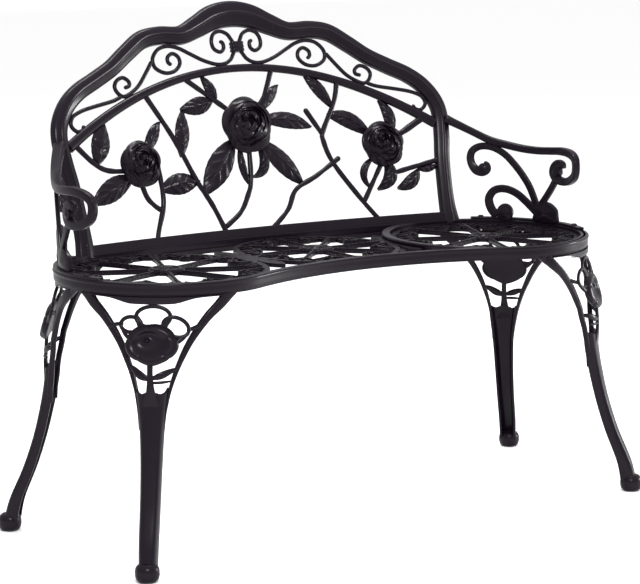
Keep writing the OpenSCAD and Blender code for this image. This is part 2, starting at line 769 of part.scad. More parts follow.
module medallion_center() placed(coat_light) translate([0, mid_ring_y, 0]) difference() {
  medallion(mid_ring_r) link_shape();
  translate([0, -mid_ring_y, panel_top - panel_t - 1]) linear_extrude(panel_t + 2) difference() {
    polygon(seat_edge(-30));
    polygon(seat_edge(rim_w + seat_gap));
  }
}

// Legs

// Right shape of a leg, seen from the side: height, reach from the lobe's centre, half width, depth
leg_curve = [[16, 259, 14, 23], [50, 249, 14.5, 20], [100, 226.5, 15, 18], [150, 209, 16, 17],
  [200, 196.5, 18, 17], [235, 190, 21.5, 17], [258, 187.5, 24.5, 17]];
panel_curve = [[235, 188], [270, 188.5], [305, 186], [335, 177.5], [365, 169], [394, 161]];
panel_ref = 166;
leg_share = rim_under / 395;

// The reach grows toward the foot, so that a longer reach leaves the top in place
function reach(r) = lobe_r - 4 + (r - 164) * (foot_reach - lobe_r + 4) / 86;
function panel_reach(z, i = 0) = z <= panel_curve[0][0] ? panel_curve[0][1]
  : i >= len(panel_curve) - 2 || z < panel_curve[i + 1][0]
    ? panel_curve[i][1] + (panel_curve[i + 1][1] - panel_curve[i][1])
      * (z - panel_curve[i][0]) / (panel_curve[i + 1][0] - panel_curve[i][0])
    : panel_reach(z, i + 1);

// Point on the curved panel: along the arc, height, proud of the face
function panel_pt(s, z, out = 0) = let (a = s * 180 / (PI * panel_ref),
  r = reach(panel_reach(z)) + out)
  [r * cos(a), r * sin(a), z * leg_share];

function panel_rings(p, w, d, section) = bar([for (q = p) panel_pt(q[0], q[1], q[3])],
  [for (q = p) polar(q[0] * 180 / (PI * panel_ref))], w, d, section);

module panel_bar(p, d) skin(panel_rings(p, [for (q = p) q[2]], [for (q = p) d], round_section(4)));

// Loops above the bloom: middle along and up, half width, half height, turn, number of rings
loops = [[2, 367.5, 26, 15, 0, 11], [-29, 356, 14.5, 11, 0, 8], [34, 351.5, 18.5, 14, -25, 9]];
loop_w = 8.5;
module panel_loop(l) let (n = l[5], p = [for (i = [0:n - 1]) let (a = 360 * i / n)
  [l[0] + l[2] * cos(a) * cos(l[4]) - l[3] * sin(a) * sin(l[4]),
   l[1] + l[2] * cos(a) * sin(l[4]) + l[3] * sin(a) * cos(l[4])]],
  q = [for (v = p) panel_pt(v[0], v[1], 1)])
  skin([for (i = [0:n - 1]) ring(q[i], unit(q[(i + 1) % n] - q[(i + n - 1) % n]),
    polar(p[i][0] * 180 / (PI * panel_ref)), loop_w, stem_t, round_section(4))], true);

// Struts, then the stem: along the arc, height, width, how far proud of the panel's face
strut = [[15.5, 222, 6, -9], [17.5, 238, 6.5, -10], [23, 262, 7.5, -13], [31.5, 290, 10, -15],
  [42, 315, 12.5, -14], [56, 339, 14, -9.5], [76, 364, 17, -4.5], [97, 382, 21, -1], [114, 397, 25, 0]];
strut_lean = 0.03;
strut_t = 12;
stem = [[0, 246, 34, -1], [-0.5, 262, 20, 0], [-1, 280, 13, 0], [-1, 300, 12, 0], [-0.5, 309, 20, 0],
  [-0.5, 315, 34, 0]];
stem_t = 7;
leaf_depth = 6;
bloom_c = [0.5, 330];
bloom_w = 35;
bloom_h = 28;
bloom_rings = [[0.06, 7.5], [0.22, 6], [0.34, 1.5], [0.58, 2], [0.72, 8], [0.9, 7], [1, 1.5], [0.82, -3]];
bloom_n = 12;

// Bloom: a shallow cup with a thick lip and a domed middle
module bloom() skin([for (b = bloom_rings) [for (i = [0:bloom_n - 1]) let (a = 360 * i / bloom_n)
  panel_pt(bloom_c[0] + bloom_w * b[0] * cos(a), bloom_c[1] + bloom_h * b[0] * sin(a), b[1])]]);

shin_cols = [[-1, 1], [-0.85, 0.22], [-0.4, 0], [0.4, 0], [0.85, 0.22], [1, 1]];
module shin() let (rows = smooth(leg_curve, 1)) sheet(
  [for (q = rows) [for (c = shin_cols) [reach(q[1]) - c[1] * q[3], c[0] * q[2], q[0] * leg_share]]],
  [for (q = rows) [for (c = shin_cols) [reach(q[1]) - shin_wall - c[1] * (q[3] - shin_wall),
    c[0] * (q[2] - shin_wall), q[0] * leg_share]]]);

foot_shape = [[0, 2], [0.78, 2], [0.96, 7], [1, 14], [0.92, 21], [0.66, 26], [0, 28]];
glide_h = 2;
glide_r = 13;

module foot() translate([foot_reach, 0, 0]) rotate_extrude($fn = foot_sides)
  polygon([for (q = foot_shape) [q[0] * foot_r, q[1]]]);

// Scalloped apron that hangs below the rim, and the tab behind it that takes the bolts
apron = [[-118, 1.5], [-84, 1.5], [-64, 2.5], [-50, 5.5], [-38, 8.5], [-25, 10], [25, 10], [38, 8.5],
  [50, 5.5], [64, 2.5], [84, 1.5], [118, 1.5]];
apron_set = 0.5;
apron_t = 3.5;
flange_t = 4;
flange_w = 14;

module apron_sheet() {
  function at(s, r, z) = r * polar(s * 180 / (PI * panel_ref)) + [0, 0, z];
  function wall(r) = [for (q = apron) [at(q[0], r, rim_under + overlap),
    at(q[0], r, rim_under - q[1])]];
  sheet(wall(lobe_r - apron_set), wall(lobe_r - apron_set - apron_t));
  skin([for (k = [-1:0.5:1]) [for (q = [[0, -overlap], [1, -overlap], [1, flange_t], [0, flange_t]])
    (lobe_r - apron_set - apron_t / 2 - q[0] * flange_w) * polar(k * (leg_bolt_spread + 5))
      + [0, 0, rim_under - q[1]]]]);
}

// Ties from the loops to the struts, then the leaves and the twig
loop_ties = [[[-40, 357, 8, 0], [-62, 352, 11, -4]], [[48, 347, 8, 0], [66, 352, 11, -4]]];
panel_leaves = [[[1, 279, 5, 0], [-12, 284.5, 17, -1], [-22, 292, 13, -6], [-31, 297.5, 5, -14]],
  [[-1, 279, 5, 0], [12, 283.5, 17, -1], [24, 289, 13, -6], [35, 292.5, 5, -14]],
  [[0, 275, 5, 0], [13, 275.5, 6, -1], [26, 276.5, 4, -6]]];

module leg_solid() {
  shin();
  foot();
  for (s = [-1, 1]) panel_bar([for (q = strut)
    [s * q[0] + strut_lean * (q[1] - strut[0][1]), q[1], q[2], q[3]]], strut_t);
  panel_bar(stem, stem_t);
  bloom();
  for (l = loops) panel_loop(l);
  for (b = concat(loop_ties, panel_leaves)) panel_bar(b, leaf_depth);
  apron_sheet();
}

module leg() cast_less() {
  leg_solid();
  translate([0, 0, rim_under + cut_depth / 2]) cube([3 * lobe_r, 3 * lobe_r, cut_depth], center = true);
  for (s = [-1, 1]) rotate(s * leg_bolt_spread) translate([leg_bolt_r, 0, rim_under - flange_t])
    cylinder(d = bolt_d + 2 * bolt_gap, h = 4 * flange_t, center = true, $fn = 8);
}

module leg_at(angle, set_in) placed(coat) translate([-lobe_x, lobe_y, 0]) rotate(angle)
  translate([-set_in, 0, 0]) leg();

module leg_front_left() leg_at(180 + front_leg_angle, 0);
module leg_front_right() mirror([1, 0, 0]) leg_front_left();
module leg_rear_left() leg_at(180 - rear_leg_angle, rear_leg_in);
module leg_rear_right() mirror([1, 0, 0]) leg_rear_left();

module foot_glides() placed(plastic) on_both_sides() at_legs() translate([foot_reach, 0, 0])
  cylinder(r = glide_r, h = glide_h);

// Fasteners

// Hex bolt with a washer, its head below the surface that it clamps
module hex_bolt(length) {
  translate([0, 0, -washer_t]) cylinder(d = washer_d, h = washer_t);
  translate([0, 0, -washer_t - head_h]) cylinder(d = head_af / cos(30), h = head_h, $fn = 6);
  translate([0, 0, -washer_t - head_h / 2]) cylinder(d = bolt_d, h = length + washer_t + head_h / 2);
}

module leg_bolts() placed(steel) on_both_sides() at_leg_bolts()
  translate([0, 0, -flange_t]) hex_bolt(flange_t + bolt_in_rim - 1);

module post_bolts() placed(steel) on_both_sides()
  translate([post_x, post_y, rim_under + head_h + washer_t + 1])
    hex_bolt(rim_h - head_h - washer_t - 1 + post_bolt_in - 2);

// Domed screws that hold the arm strips to the rim
module arm_bolts() placed(coat) on_both_sides() at_arm_bolts() {
  translate([0, 0, 1 - bolt_in_rim]) cylinder(d = bolt_d, h = bolt_in_rim - 1 + foot_strip_t);
  translate([0, 0, foot_strip_t]) rotate_extrude() polygon([[0, 0], [5, 0], [5, 1], [3.5, 2.6], [0, 3]]);
}

module rose_left() rose(0);
module rose_center() rose(1);
module rose_right() rose(2);

top_rail();
arch_rail();
back_band();
scrolls_left();
scrolls_right();
collar();
vine_left();
vine_center();
vine_right();
rose_left();
rose_center();
rose_right();
armrest_left();
armrest_right();
seat_rim();
medallion_left();
medallion_center();
medallion_right();
leg_front_left();
leg_front_right();
leg_rear_left();
leg_rear_right();
foot_glides();
leg_bolts();
arm_bolts();
post_bolts();
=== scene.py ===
# %% [markdown]
# # A cast garden bench, dressed for its portrait
# The frame is the measured model: it says where every casting sits. This file gives the
# castings their fine forms - ridged rails, veined leaves, layered roses - and their
# powder coat. Each form is a function of two numbers, worked out for a whole grid of
# points at once, so a reader can change one number and see the form change.

# %% Load the measured frame
import json
import math
import bpy
import numpy as np
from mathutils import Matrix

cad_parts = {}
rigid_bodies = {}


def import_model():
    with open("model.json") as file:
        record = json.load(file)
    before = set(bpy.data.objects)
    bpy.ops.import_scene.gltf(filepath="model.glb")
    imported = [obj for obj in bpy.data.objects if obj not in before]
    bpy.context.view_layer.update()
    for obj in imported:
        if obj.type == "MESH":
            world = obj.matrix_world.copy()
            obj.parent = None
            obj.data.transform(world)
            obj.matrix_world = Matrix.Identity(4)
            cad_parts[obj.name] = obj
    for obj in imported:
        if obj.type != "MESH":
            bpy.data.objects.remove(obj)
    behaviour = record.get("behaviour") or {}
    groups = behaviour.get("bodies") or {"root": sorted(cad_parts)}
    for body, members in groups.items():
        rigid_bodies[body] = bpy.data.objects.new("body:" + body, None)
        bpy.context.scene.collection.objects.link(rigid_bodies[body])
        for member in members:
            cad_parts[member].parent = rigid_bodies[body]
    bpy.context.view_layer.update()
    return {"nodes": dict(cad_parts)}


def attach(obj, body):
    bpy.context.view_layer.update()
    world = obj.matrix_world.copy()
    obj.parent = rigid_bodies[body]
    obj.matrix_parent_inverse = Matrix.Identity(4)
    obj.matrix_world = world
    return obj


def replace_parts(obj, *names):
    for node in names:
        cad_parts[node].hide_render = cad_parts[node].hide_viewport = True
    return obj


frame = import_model()
print("castings and fittings in the frame:", len(frame["nodes"]))

# %% [markdown]
# ## Sizes
# A look that is built on other sizes than the casting's would float beside it, so the
# bench's own sizes come first. They are millimetres, as in a maker's drawing, and are
# turned into metres only where a mesh is made and where the camera is set. Some ornament
# was drawn before a size was settled; its drawn size stands beside the real one.

# %% Sizes of the bench, in millimetres
MM = 0.001
SEAT_TOP, RIM_W, RIM_H = 416.0, 14.0, 20.0
LOBE_X, LOBE_Y, LOBE_R = 304.0, -40.0, 170.0
REAR_MID, FRONT_MID = 152.0, 142.0
PATTERN_SET = 4.0
POST_OUT, DRAWN_POST_X = 50.0, 352.0
POST_X = LOBE_X + POST_OUT
BACK_LEAN = math.tan(math.radians(17))
CENTRE_Y = 5.432
RIM_MID_R = LOBE_R - RIM_W / 2
RIM_UNDER = SEAT_TOP - RIM_H
BACK_MID_Y = REAR_MID - RIM_W / 2
POST_Y = LOBE_Y + math.sqrt(RIM_MID_R ** 2 - (POST_X - LOBE_X) ** 2)
BACK_R = POST_X ** 2 / (2 * (BACK_MID_Y - POST_Y))
PATTERN_X = POST_X / DRAWN_POST_X
print("seat height", SEAT_TOP, "- posts at x", POST_X, "y", round(POST_Y, 1))

# %% [markdown]
# ## Places on the bench
# The back is a leaning, bowed sheet; each arm stands on a cylinder round the seat's end;
# each leg's flower panel curls round the same centre. Ornament is easiest to draw flat,
# so three functions carry a flat drawing onto these surfaces. Each takes two flat
# coordinates and a distance out of the surface.


# %% Three surfaces that ornament is drawn on
def unit(v):
    """Vectors of length one: v / |v|."""
    return v / np.maximum(np.linalg.norm(v, axis=-1, keepdims=True), 1e-9)


def on_back(x, h, out=0.0):
    """Back sheet: y = middle - x^2 / 2R + lean * h, then out along the sheet's normal."""
    x, h, out = np.broadcast_arrays(np.asarray(x, float) * PATTERN_X, np.asarray(h, float), out)
    y = BACK_MID_Y - x * x / (2 * BACK_R) + BACK_LEAN * h
    face = unit(np.stack([-x / BACK_R, -np.ones_like(x), np.full_like(x, BACK_LEAN)], -1))
    return np.stack([x, y, SEAT_TOP - PATTERN_SET + h], -1) + face * out[..., None]


ARM_END_X, ARM_TOP, ARM_SET, FLARE_FROM, ARM_TWIST = 365.49, 172.0, 4.0, 15.0, 3.5
ARM_END = on_back(ARM_END_X, ARM_TOP)[:2] - [LOBE_X, LOBE_Y]
ARM_END_A = math.degrees(math.atan2(ARM_END[1], ARM_END[0]))
ARM_FLARE = np.linalg.norm(ARM_END) - RIM_MID_R + ARM_SET


def on_arm(a, h, out=0.0):
    """Arm sheet: angle a round the seat's end, height h; it flares toward the post."""
    a, h, out = np.broadcast_arrays(np.asarray(a, float), np.asarray(h, float), out)
    share = np.maximum(a - FLARE_FROM, 0) / (ARM_END_A - FLARE_FROM)
    t = np.radians(a + ARM_TWIST * (1 - a / ARM_END_A))
    r = RIM_MID_R - ARM_SET + ARM_FLARE * share ** 2 * h / ARM_TOP + out
    x, y = LOBE_X + r * np.cos(t), LOBE_Y + r * np.sin(t)
    return np.stack([x, y, SEAT_TOP - PATTERN_SET + h], -1)


PANEL_Z = [235, 270, 305, 335, 365, 394]
PANEL_R = [188, 188.5, 186, 177.5, 169, 161]
PANEL_REF, FOOT_REACH, LEG_TOP_R = 166.0, 251.0, LOBE_R - 4
DRAWN_TOP_R, DRAWN_FOOT_R, DRAWN_UNDER = 164.0, 250.0, 395.0


def reach(r):
    """From the drawn reach to the real one: top + (r - drawn top) real span / drawn span."""
    drawn = np.asarray(r, float) - DRAWN_TOP_R
    return LEG_TOP_R + drawn * (FOOT_REACH - LEG_TOP_R) / (DRAWN_FOOT_R - DRAWN_TOP_R)


def on_panel(s, z, out=0.0):
    """Leg panel: arc length s round the seat's end, height z, in the leg's own place."""
    s, z, out = np.broadcast_arrays(np.asarray(s, float), np.asarray(z, float), out)
    a = s / PANEL_REF
    r = reach(np.interp(z, PANEL_Z, PANEL_R)) + out
    return np.stack([r * np.cos(a), r * np.sin(a), z * RIM_UNDER / DRAWN_UNDER], -1)


print("back at its crest:", on_back(0, 358).round(1))

# %% [markdown]
# ## Curves and surfaces
# A rod, a rail, a leaf and a petal are all the same thing to a computer: a ring of points
# that travels and changes as it goes. So one function joins the rings, and small functions
# say how each kind of ring is made. Working on whole arrays keeps them short and fast.


# %% A smooth curve through a few points
def smooth(points, steps):
    """Between b and c: (2b + (c-a)t + (2a-5b+4c-d)t^2 + (3b-a-3c+d)t^3) / 2."""
    p = np.asarray(points, float)
    p = np.vstack([2 * p[0] - p[1], p, 2 * p[-1] - p[-2]])
    t = np.linspace(0, len(p) - 3, steps)
    i = np.minimum(t.astype(int), len(p) - 4)
    t = (t - i)[:, None]
    a, b, c, d = p[i], p[i + 1], p[i + 2], p[i + 3]
    square, cube = 2 * a - 5 * b + 4 * c - d, 3 * b - a - 3 * c + d
    return 0.5 * (2 * b + (c - a) * t + square * t ** 2 + cube * t ** 3)


def round_section(n):
    """Circle of radius one: (cos v, sin v)."""
    v = np.linspace(0, 2 * np.pi, n, endpoint=False)
    return np.stack([np.cos(v), np.sin(v)], -1)


def soft_square(power, n=28):
    """Superellipse |x|^p + |y|^p = 1: a bar's section with eased corners."""
    c = round_section(n)
    return np.sign(c) * np.abs(c) ** (2 / power)


def closed_smooth(points, n, per_span=40):
    """The same cubic carried round a closed ring of points, then n even picks from it."""
    p = np.asarray(points, float)
    fine = smooth(np.vstack([p[-2:], p, p[:3]]), (len(p) + 4) * per_span + 1)
    pick = np.linspace(0, len(p) * per_span, n, endpoint=False).astype(int)
    return fine[2 * per_span:-2 * per_span][pick]


# %% A bar along a path
def sweep(path, face, width, depth, section, ends=0.0):
    """S(u, v) = P(u) + side(u) w(u) x(v) / 2 + out(u) d(u) y(v) / 2, ends rounded off."""
    t = unit(np.gradient(path, axis=0))
    out = unit(face - t * np.sum(face * t, -1, keepdims=True))
    side = np.cross(t, out)
    run = np.concatenate([[0], np.cumsum(np.linalg.norm(np.diff(path, axis=0), axis=1))])
    near = np.minimum(run, run[-1] - run)
    k = np.sqrt(np.clip(1 - (1 - near / ends) ** 2, 0.01, 1)) if ends else np.ones(len(run))
    k = np.where(near < ends, k, 1.0)
    w = (np.broadcast_to(width, run.shape) * k)[:, None, None] / 2
    d = (np.broadcast_to(depth, run.shape) * k)[:, None, None] / 2
    across = side[:, None] * w * section[None, :, :1]
    return path[:, None] + across + out[:, None] * d * section[None, :, 1:]


def bar(place, points, width, depth, section, steps, ends=0.0):
    """A bar drawn flat as points, widths and ways out, carried onto one of the surfaces.

    Where its ends are rounded, u - 0.11 sin(2 pi u) crowds the rings toward them.
    """
    q = smooth(points, steps)
    if ends:
        even = np.linspace(0, 1, 8 * steps)
        crowded = np.linspace(0, 1, steps)
        crowded = crowded - 0.11 * np.sin(2 * np.pi * crowded)
        q = np.stack([np.interp(crowded, even, c) for c in smooth(points, 8 * steps).T], -1)
    out = q[:, 3] if q.shape[1] > 3 else 0.0
    path = place(q[:, 0], q[:, 1], out)
    face = place(q[:, 0], q[:, 1], out + 1.0) - path
    w = q[:, 2] * width if q.shape[1] > 2 else width
    return sweep(path, face, w, depth, section, ends)


def shell(front, back):
    """A thin solid from its front and back grids: the columns run over one, back by the other."""
    return np.concatenate([front[:, ::-1], back], axis=1)


def pillow(place, outline, middle, profile):
    """Rings shrunk toward a middle: ring k is middle + share_k (outline - middle), out_k proud."""
    o = np.asarray(outline, float)
    m = np.asarray(middle, float)
    p = np.asarray(profile, float)
    q = m + p[:, None, :1] * (o - m)[None]
    return place(q[..., 0], q[..., 1], p[:, 1][:, None])


# %% From grids to a mesh
def lattice(rows, cols, loop):
    """Quads between ring i and ring i + 1, column j and j + 1; columns always wrap."""
    i = np.arange(rows if loop else rows - 1)[:, None]
    j = np.arange(cols)[None]
    i1, j1 = (i + 1) % rows, (j + 1) % cols
    return np.stack([i * cols + j, i1 * cols + j, i1 * cols + j1, i * cols + j1], -1).reshape(-1, 4)


def outward(grid, loop):
    """Signed volume of the rings; where it is negative the columns are turned round."""
    f = lattice(*grid.shape[:2], loop)
    p = grid.reshape(-1, 3) - grid.reshape(-1, 3).mean(0)
    a, b, c, d = (p[f[:, k]] for k in range(4))
    volume = np.sum(a * np.cross(b, c)) + np.sum(a * np.cross(c, d))
    return grid if volume > 0 else grid[:, ::-1]


def make_mesh(name, grids, finish, crease=38, loops=()):
    """One object from many ring grids; open ends are closed with a face."""
    points, faces, start = [], [], 0
    for k, grid in enumerate(grids):
        loop = k in loops
        grid = outward(np.asarray(grid, float), loop)
        rows, cols = grid.shape[:2]
        points.append(grid.reshape(-1, 3))
        faces += (lattice(rows, cols, loop) + start).tolist()
        if not loop:
            first = np.arange(cols) + start
            faces.append(first.tolist())
            faces.append((first[::-1] + (rows - 1) * cols).tolist())
        start += rows * cols
    p = (np.concatenate(points) - [0, CENTRE_Y, 0]) * MM
    mesh = bpy.data.meshes.new(name)
    mesh.from_pydata(p.tolist(), [], faces)
    mesh.polygons.foreach_set("use_smooth", np.ones(len(mesh.polygons), bool))
    mesh.set_sharp_from_angle(angle=math.radians(crease))
    mesh.materials.append(finish)
    piece = bpy.data.objects.new(name, mesh)
    bpy.context.scene.collection.objects.link(piece)
    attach(piece, "root")
    print(name, "grids", len(grids), "faces", len(faces))
    return piece


def mirrored(grids):
    """The same grids on the other side: x becomes -x."""
    return [g * [-1, 1, 1] for g in grids]


# %% [markdown]
# ## Shader maths that reads like arithmetic
# A finish is a small program of nodes. Written with nodes and links it is hard to read,
# so one class wraps a socket and lets Python's + - * stand for Math nodes, and another
# makes any node from its type, its settings and its inputs.


# %% Wires and finishes
class Wire:
    """A socket that can be added, multiplied, subtracted or raised; each adds a Math node."""

    def __init__(self, tree, socket):
        self.tree, self.socket = tree, socket

    def maths(self, operation, *values):
        node = self.tree.nodes.new("ShaderNodeMath")
        node.operation = operation
        for k, v in enumerate(values):
            if isinstance(v, Wire):
                self.tree.links.new(v.socket, node.inputs[k])
            else:
                node.inputs[k].default_value = v
        return Wire(self.tree, node.outputs[0])

    def __add__(self, other):
        return self.maths("ADD", self, other)

    def __mul__(self, other):
        return self.maths("MULTIPLY", self, other)

    def __sub__(self, other):
        return self.maths("SUBTRACT", self, other)

    def __pow__(self, other):
        return self.maths("POWER", self, other)

    def clamped(self):
        return self.maths("MINIMUM", self.maths("MAXIMUM", self, 0.0), 1.0)

    __radd__ = __add__


class Finish:
    """A material under construction: node() makes any node and returns its output."""

    def __init__(self, name):
        self.material = bpy.data.materials.new(name)
        self.material.use_nodes = True
        self.tree = self.material.node_tree
        self.surface = self.tree.nodes["Principled BSDF"]

    def node(self, kind, settings=None, output=0, **inputs):
        made = self.tree.nodes.new(kind)
        for key, value in (settings or {}).items():
            setattr(made, key, value)
        for key, value in inputs.items():
            numbered = key[0] == "i" and key[1:].isdigit()
            self.feed(made.inputs[int(key[1:]) if numbered else key.replace("_", " ")], value)
        return Wire(self.tree, made.outputs[output])

    def own_spot(self):
        """The point in the object's own coordinates."""
        return self.node("ShaderNodeTexCoord", output=3)

    def mix(self, share, low, high):
        """The colour low where the share is 0, the colour high where it is 1."""
        low, high = (c if isinstance(c, Wire) else (*c, 1) for c in (low, high))
        return self.node("ShaderNodeMix", {"data_type": "RGBA"}, 2, i0=share, i6=low, i7=high)

    def feed(self, socket, value):
        if isinstance(value, Wire):
            self.tree.links.new(value.socket, socket)
        else:
            socket.default_value = value

    def set(self, **inputs):
        for key, value in inputs.items():
            self.feed(self.surface.inputs[key.replace("_", " ")], value)
        return self.material


# %% [markdown]
# ## Powder coat
# The bench is cast aluminium, sprayed with powder that melts into a satin skin, nearly
# black. Up close the skin is not flat: it keeps the slow waves of the sand casting and a
# fine orange peel. The colour is a touch paler where the powder lies thick and where a
# little dust rests on faces that look up. All of it is made from noise in the object's own
# coordinates, so it has the same scale on every piece.


# %% The coat in three tones: the main tone, a copy with painted light, a copy with painted shade
DUST_TONE = (0.16, 0.16, 0.165)
THICKER = 1.35


def powder_coat(name, tone, dust, peel, beads=0.0, shine=0.16):
    """Colour = tone + dust on upward faces; roughness and bump from three noises and beads."""
    f = Finish(name)
    spot = f.own_spot()
    waves = f.node("ShaderNodeTexNoise", Vector=spot, Scale=55.0, Detail=3.0, Roughness=0.5)
    grain = f.node("ShaderNodeTexNoise", Vector=spot, Scale=900.0, Detail=2.0, Roughness=0.6)
    cloud = f.node("ShaderNodeTexNoise", Vector=spot, Scale=9.0, Detail=4.0, Roughness=0.6)
    normal = f.node("ShaderNodeNewGeometry", output=1)
    up = f.node("ShaderNodeSeparateXYZ", output=2, Vector=normal).clamped()
    rest = (up ** 3.0) * (cloud * 1.6 - 0.35).clamped()
    thick = (waves * 1.4 - 0.2).clamped()
    base = f.mix(thick, tone, [c * THICKER for c in tone])
    colour = f.mix(rest * dust, base, DUST_TONE)
    bead = f.node("ShaderNodeTexVoronoi", {"feature": "F1"},
                  Vector=spot, Scale=140.0, Randomness=0.7)
    height = waves * 0.9 + grain * peel - (bead ** 2.0) * beads
    bump = f.node("ShaderNodeBump", Height=height, Strength=0.5, Distance=0.0006)
    rough = 0.34 + waves * 0.1 + grain * 0.06 + rest * 0.12
    return f.set(Base_Color=colour, Roughness=rough, Normal=bump, Coat_Weight=shine,
                 Coat_Roughness=0.17, Metallic=0.0, IOR=1.5, Specular_IOR_Level=0.05)


coat = powder_coat("charcoal_powder_coat", (0.0050, 0.0028, 0.0060), 0.03, 0.2)
# Painted light: the rods, collar, sprays and roses get a copy of the same coat toned a little
# lighter, so they look more brightly lit.
relief_coat_painted_lighter = powder_coat("charcoal_coat_on_relief", (0.0056, 0.0033, 0.0068), 0.04, 0.25)
# Painted shade: the seat medallions get a copy of the same coat toned darker, so their upward faces
# look shaded.
lace_coat_painted_darker = powder_coat("charcoal_coat_on_lace", (0.0040, 0.0022, 0.0048), 0.02, 0.3,
                        beads=9.0, shine=0.1)
print("finishes:", [m.name for m in bpy.data.materials])


# %% [markdown]
# ## Fittings
# The bolts are zinc-plated steel and the feet stand on thin plastic glides. Both are small
# and dark underneath, yet they show when the bench is tipped, so each gets its own finish.


# %% Zinc and plastic
def zinc(name):
    """Grey metal, streaked by a noise that is stretched along one axis."""
    f = Finish(name)
    spot = f.own_spot()
    stretched = f.node("ShaderNodeMapping", Vector=spot, Scale=(900.0, 900.0, 60.0))
    streak = f.node("ShaderNodeTexNoise", Vector=stretched, Scale=1.0, Detail=2.0)
    colour = f.mix(streak, (0.42, 0.42, 0.44), (0.6, 0.6, 0.61))
    return f.set(Base_Color=colour, Metallic=1.0, Roughness=0.28 + streak * 0.2)


def moulded_plastic(name):
    """Dark plastic with a fine spark-eroded grain."""
    f = Finish(name)
    spot = f.own_spot()
    grain = f.node("ShaderNodeTexNoise", Vector=spot, Scale=1600.0, Detail=2.0)
    bump = f.node("ShaderNodeBump", Height=grain, Strength=0.4, Distance=0.0002)
    colour = f.mix(grain, (0.012, 0.012, 0.013), (0.03, 0.03, 0.032))
    return f.set(Base_Color=colour, Roughness=0.55 + grain * 0.15, Normal=bump)


steel = zinc("zinc_plated_steel")
plastic = moulded_plastic("glide_plastic_grain")
print("fitting finishes:", steel.name, plastic.name)

# %% [markdown]
# ## Rails of the back
# The top rail and its posts are one casting: a wavy, ridged moulding. A person could model
# it by hand with a bevelled curve, but the section is not round and it grows at the crest,
# so the section is carried along the path with its own width at every step.

# %% Top rail and posts
RAIL_DEPTH = 19.0
rail_half = [[0, 358, 42], [36, 353, 40], [70, 339, 35], [104, 327, 30], [145, 328, 29],
             [180, 322, 29], [214, 302, 28], [246, 281, 27], [281, 264, 27], [316, 248, 27],
             [342, 229, 27], [360, 204, 27], [366, 178, 27], [363, 143, 27], [357, 108, 26],
             [353, 66, 26], [351, 28, 28], [352, -2, 33]]
rail_points = [[-x, h, w] for x, h, w in rail_half[:0:-1]] + rail_half
rail_ring = [[-0.95, -0.7], [0, -0.8], [0.95, -0.7], [1.03, -0.2], [0.9, 0.38], [0.5, 0.66],
             [0.12, 0.84], [-0.02, 1.02], [-0.16, 0.84], [-0.55, 0.66], [-0.9, 0.38],
             [-1.03, -0.2]]
rail = bar(on_back, rail_points, 1.0, RAIL_DEPTH, closed_smooth(rail_ring, 44), 300)
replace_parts(make_mesh("rail_moulding", [rail], coat, 50), "top_rail")

# %% Arch rail and the flat bar at the seat
ARCH_CROWN, ARCH_FALL, ARCH_HALF = 270, 103, 356
ARCH_BAR, ARCH_GROWTH, ARCH_SAG, ARCH_DEPTH = 13, 5, 0.9, 11.7
BAND_H, BAND_W, BAND_DEPTH = 8.6, 17.0, 10.0
x = np.linspace(-DRAWN_POST_X, DRAWN_POST_X, 120)
growth = ARCH_GROWTH * (x / ARCH_HALF) ** 2
arch_h = ARCH_CROWN - ARCH_FALL * (x / ARCH_HALF) ** 2 - ARCH_SAG * growth
arch_points = np.stack([x, arch_h, ARCH_BAR + growth], -1)
arch = bar(on_back, arch_points, 1.0, ARCH_DEPTH, round_section(18), 160)
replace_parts(make_mesh("arch_moulding", [arch], coat, 50), "arch_rail")
x = np.linspace(4 - DRAWN_POST_X, DRAWN_POST_X - 4, 60)
band_points = np.stack([x, np.full_like(x, BAND_H)], -1)
band = bar(on_back, band_points, BAND_W, BAND_DEPTH, soft_square(5), 90)
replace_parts(make_mesh("seat_band", [band], coat, 50), "back_band")

# %% [markdown]
# ## Seat rim
# The rim is one hoop with a rolled bead along its top edge and an eased lower edge, above a
# thin recess where the legs' aprons start. Seen from above it is four arcs that run into
# each other. A section is carried round them; each of its points has an inset from the
# outline and a height.


# %% The kidney outline and the hoop that follows it
def seat_outline():
    """Four tangent arcs: centre + radius (cos t, sin t), with the way out at every point."""
    rear_in = REAR_MID - LOBE_Y - LOBE_R
    rear_r = LOBE_R + (LOBE_X ** 2 + rear_in ** 2) / (2 * rear_in)
    hollow = FRONT_MID + LOBE_Y
    hollow_r = (LOBE_X ** 2 + hollow ** 2 - LOBE_R ** 2) / (2 * (LOBE_R - hollow))
    rear_y, hollow_y = REAR_MID - rear_r, -FRONT_MID - hollow_r
    rear = math.atan2(LOBE_Y - rear_y, LOBE_X)
    front = math.atan2(hollow_y - LOBE_Y, -LOBE_X)
    turn = 2 * math.pi
    arcs = [(LOBE_X, LOBE_Y, LOBE_R, front + turn * (front > 0) - turn, rear, 1, 150),
            (0, rear_y, rear_r, rear, math.pi - rear, 1, 120),
            (-LOBE_X, LOBE_Y, LOBE_R, math.pi - rear, math.pi - front, 1, 150),
            (0, hollow_y, hollow_r, -front, math.pi + front, -1, 120)]
    points, ways = [], []
    for x, y, r, start, stop, sense, n in arcs:
        t = np.linspace(start, stop, n, endpoint=False)
        ring = np.stack([np.cos(t), np.sin(t)], -1)
        points.append([x, y] + r * ring)
        ways.append(sense * ring)
    return np.concatenate(points), np.concatenate(ways)


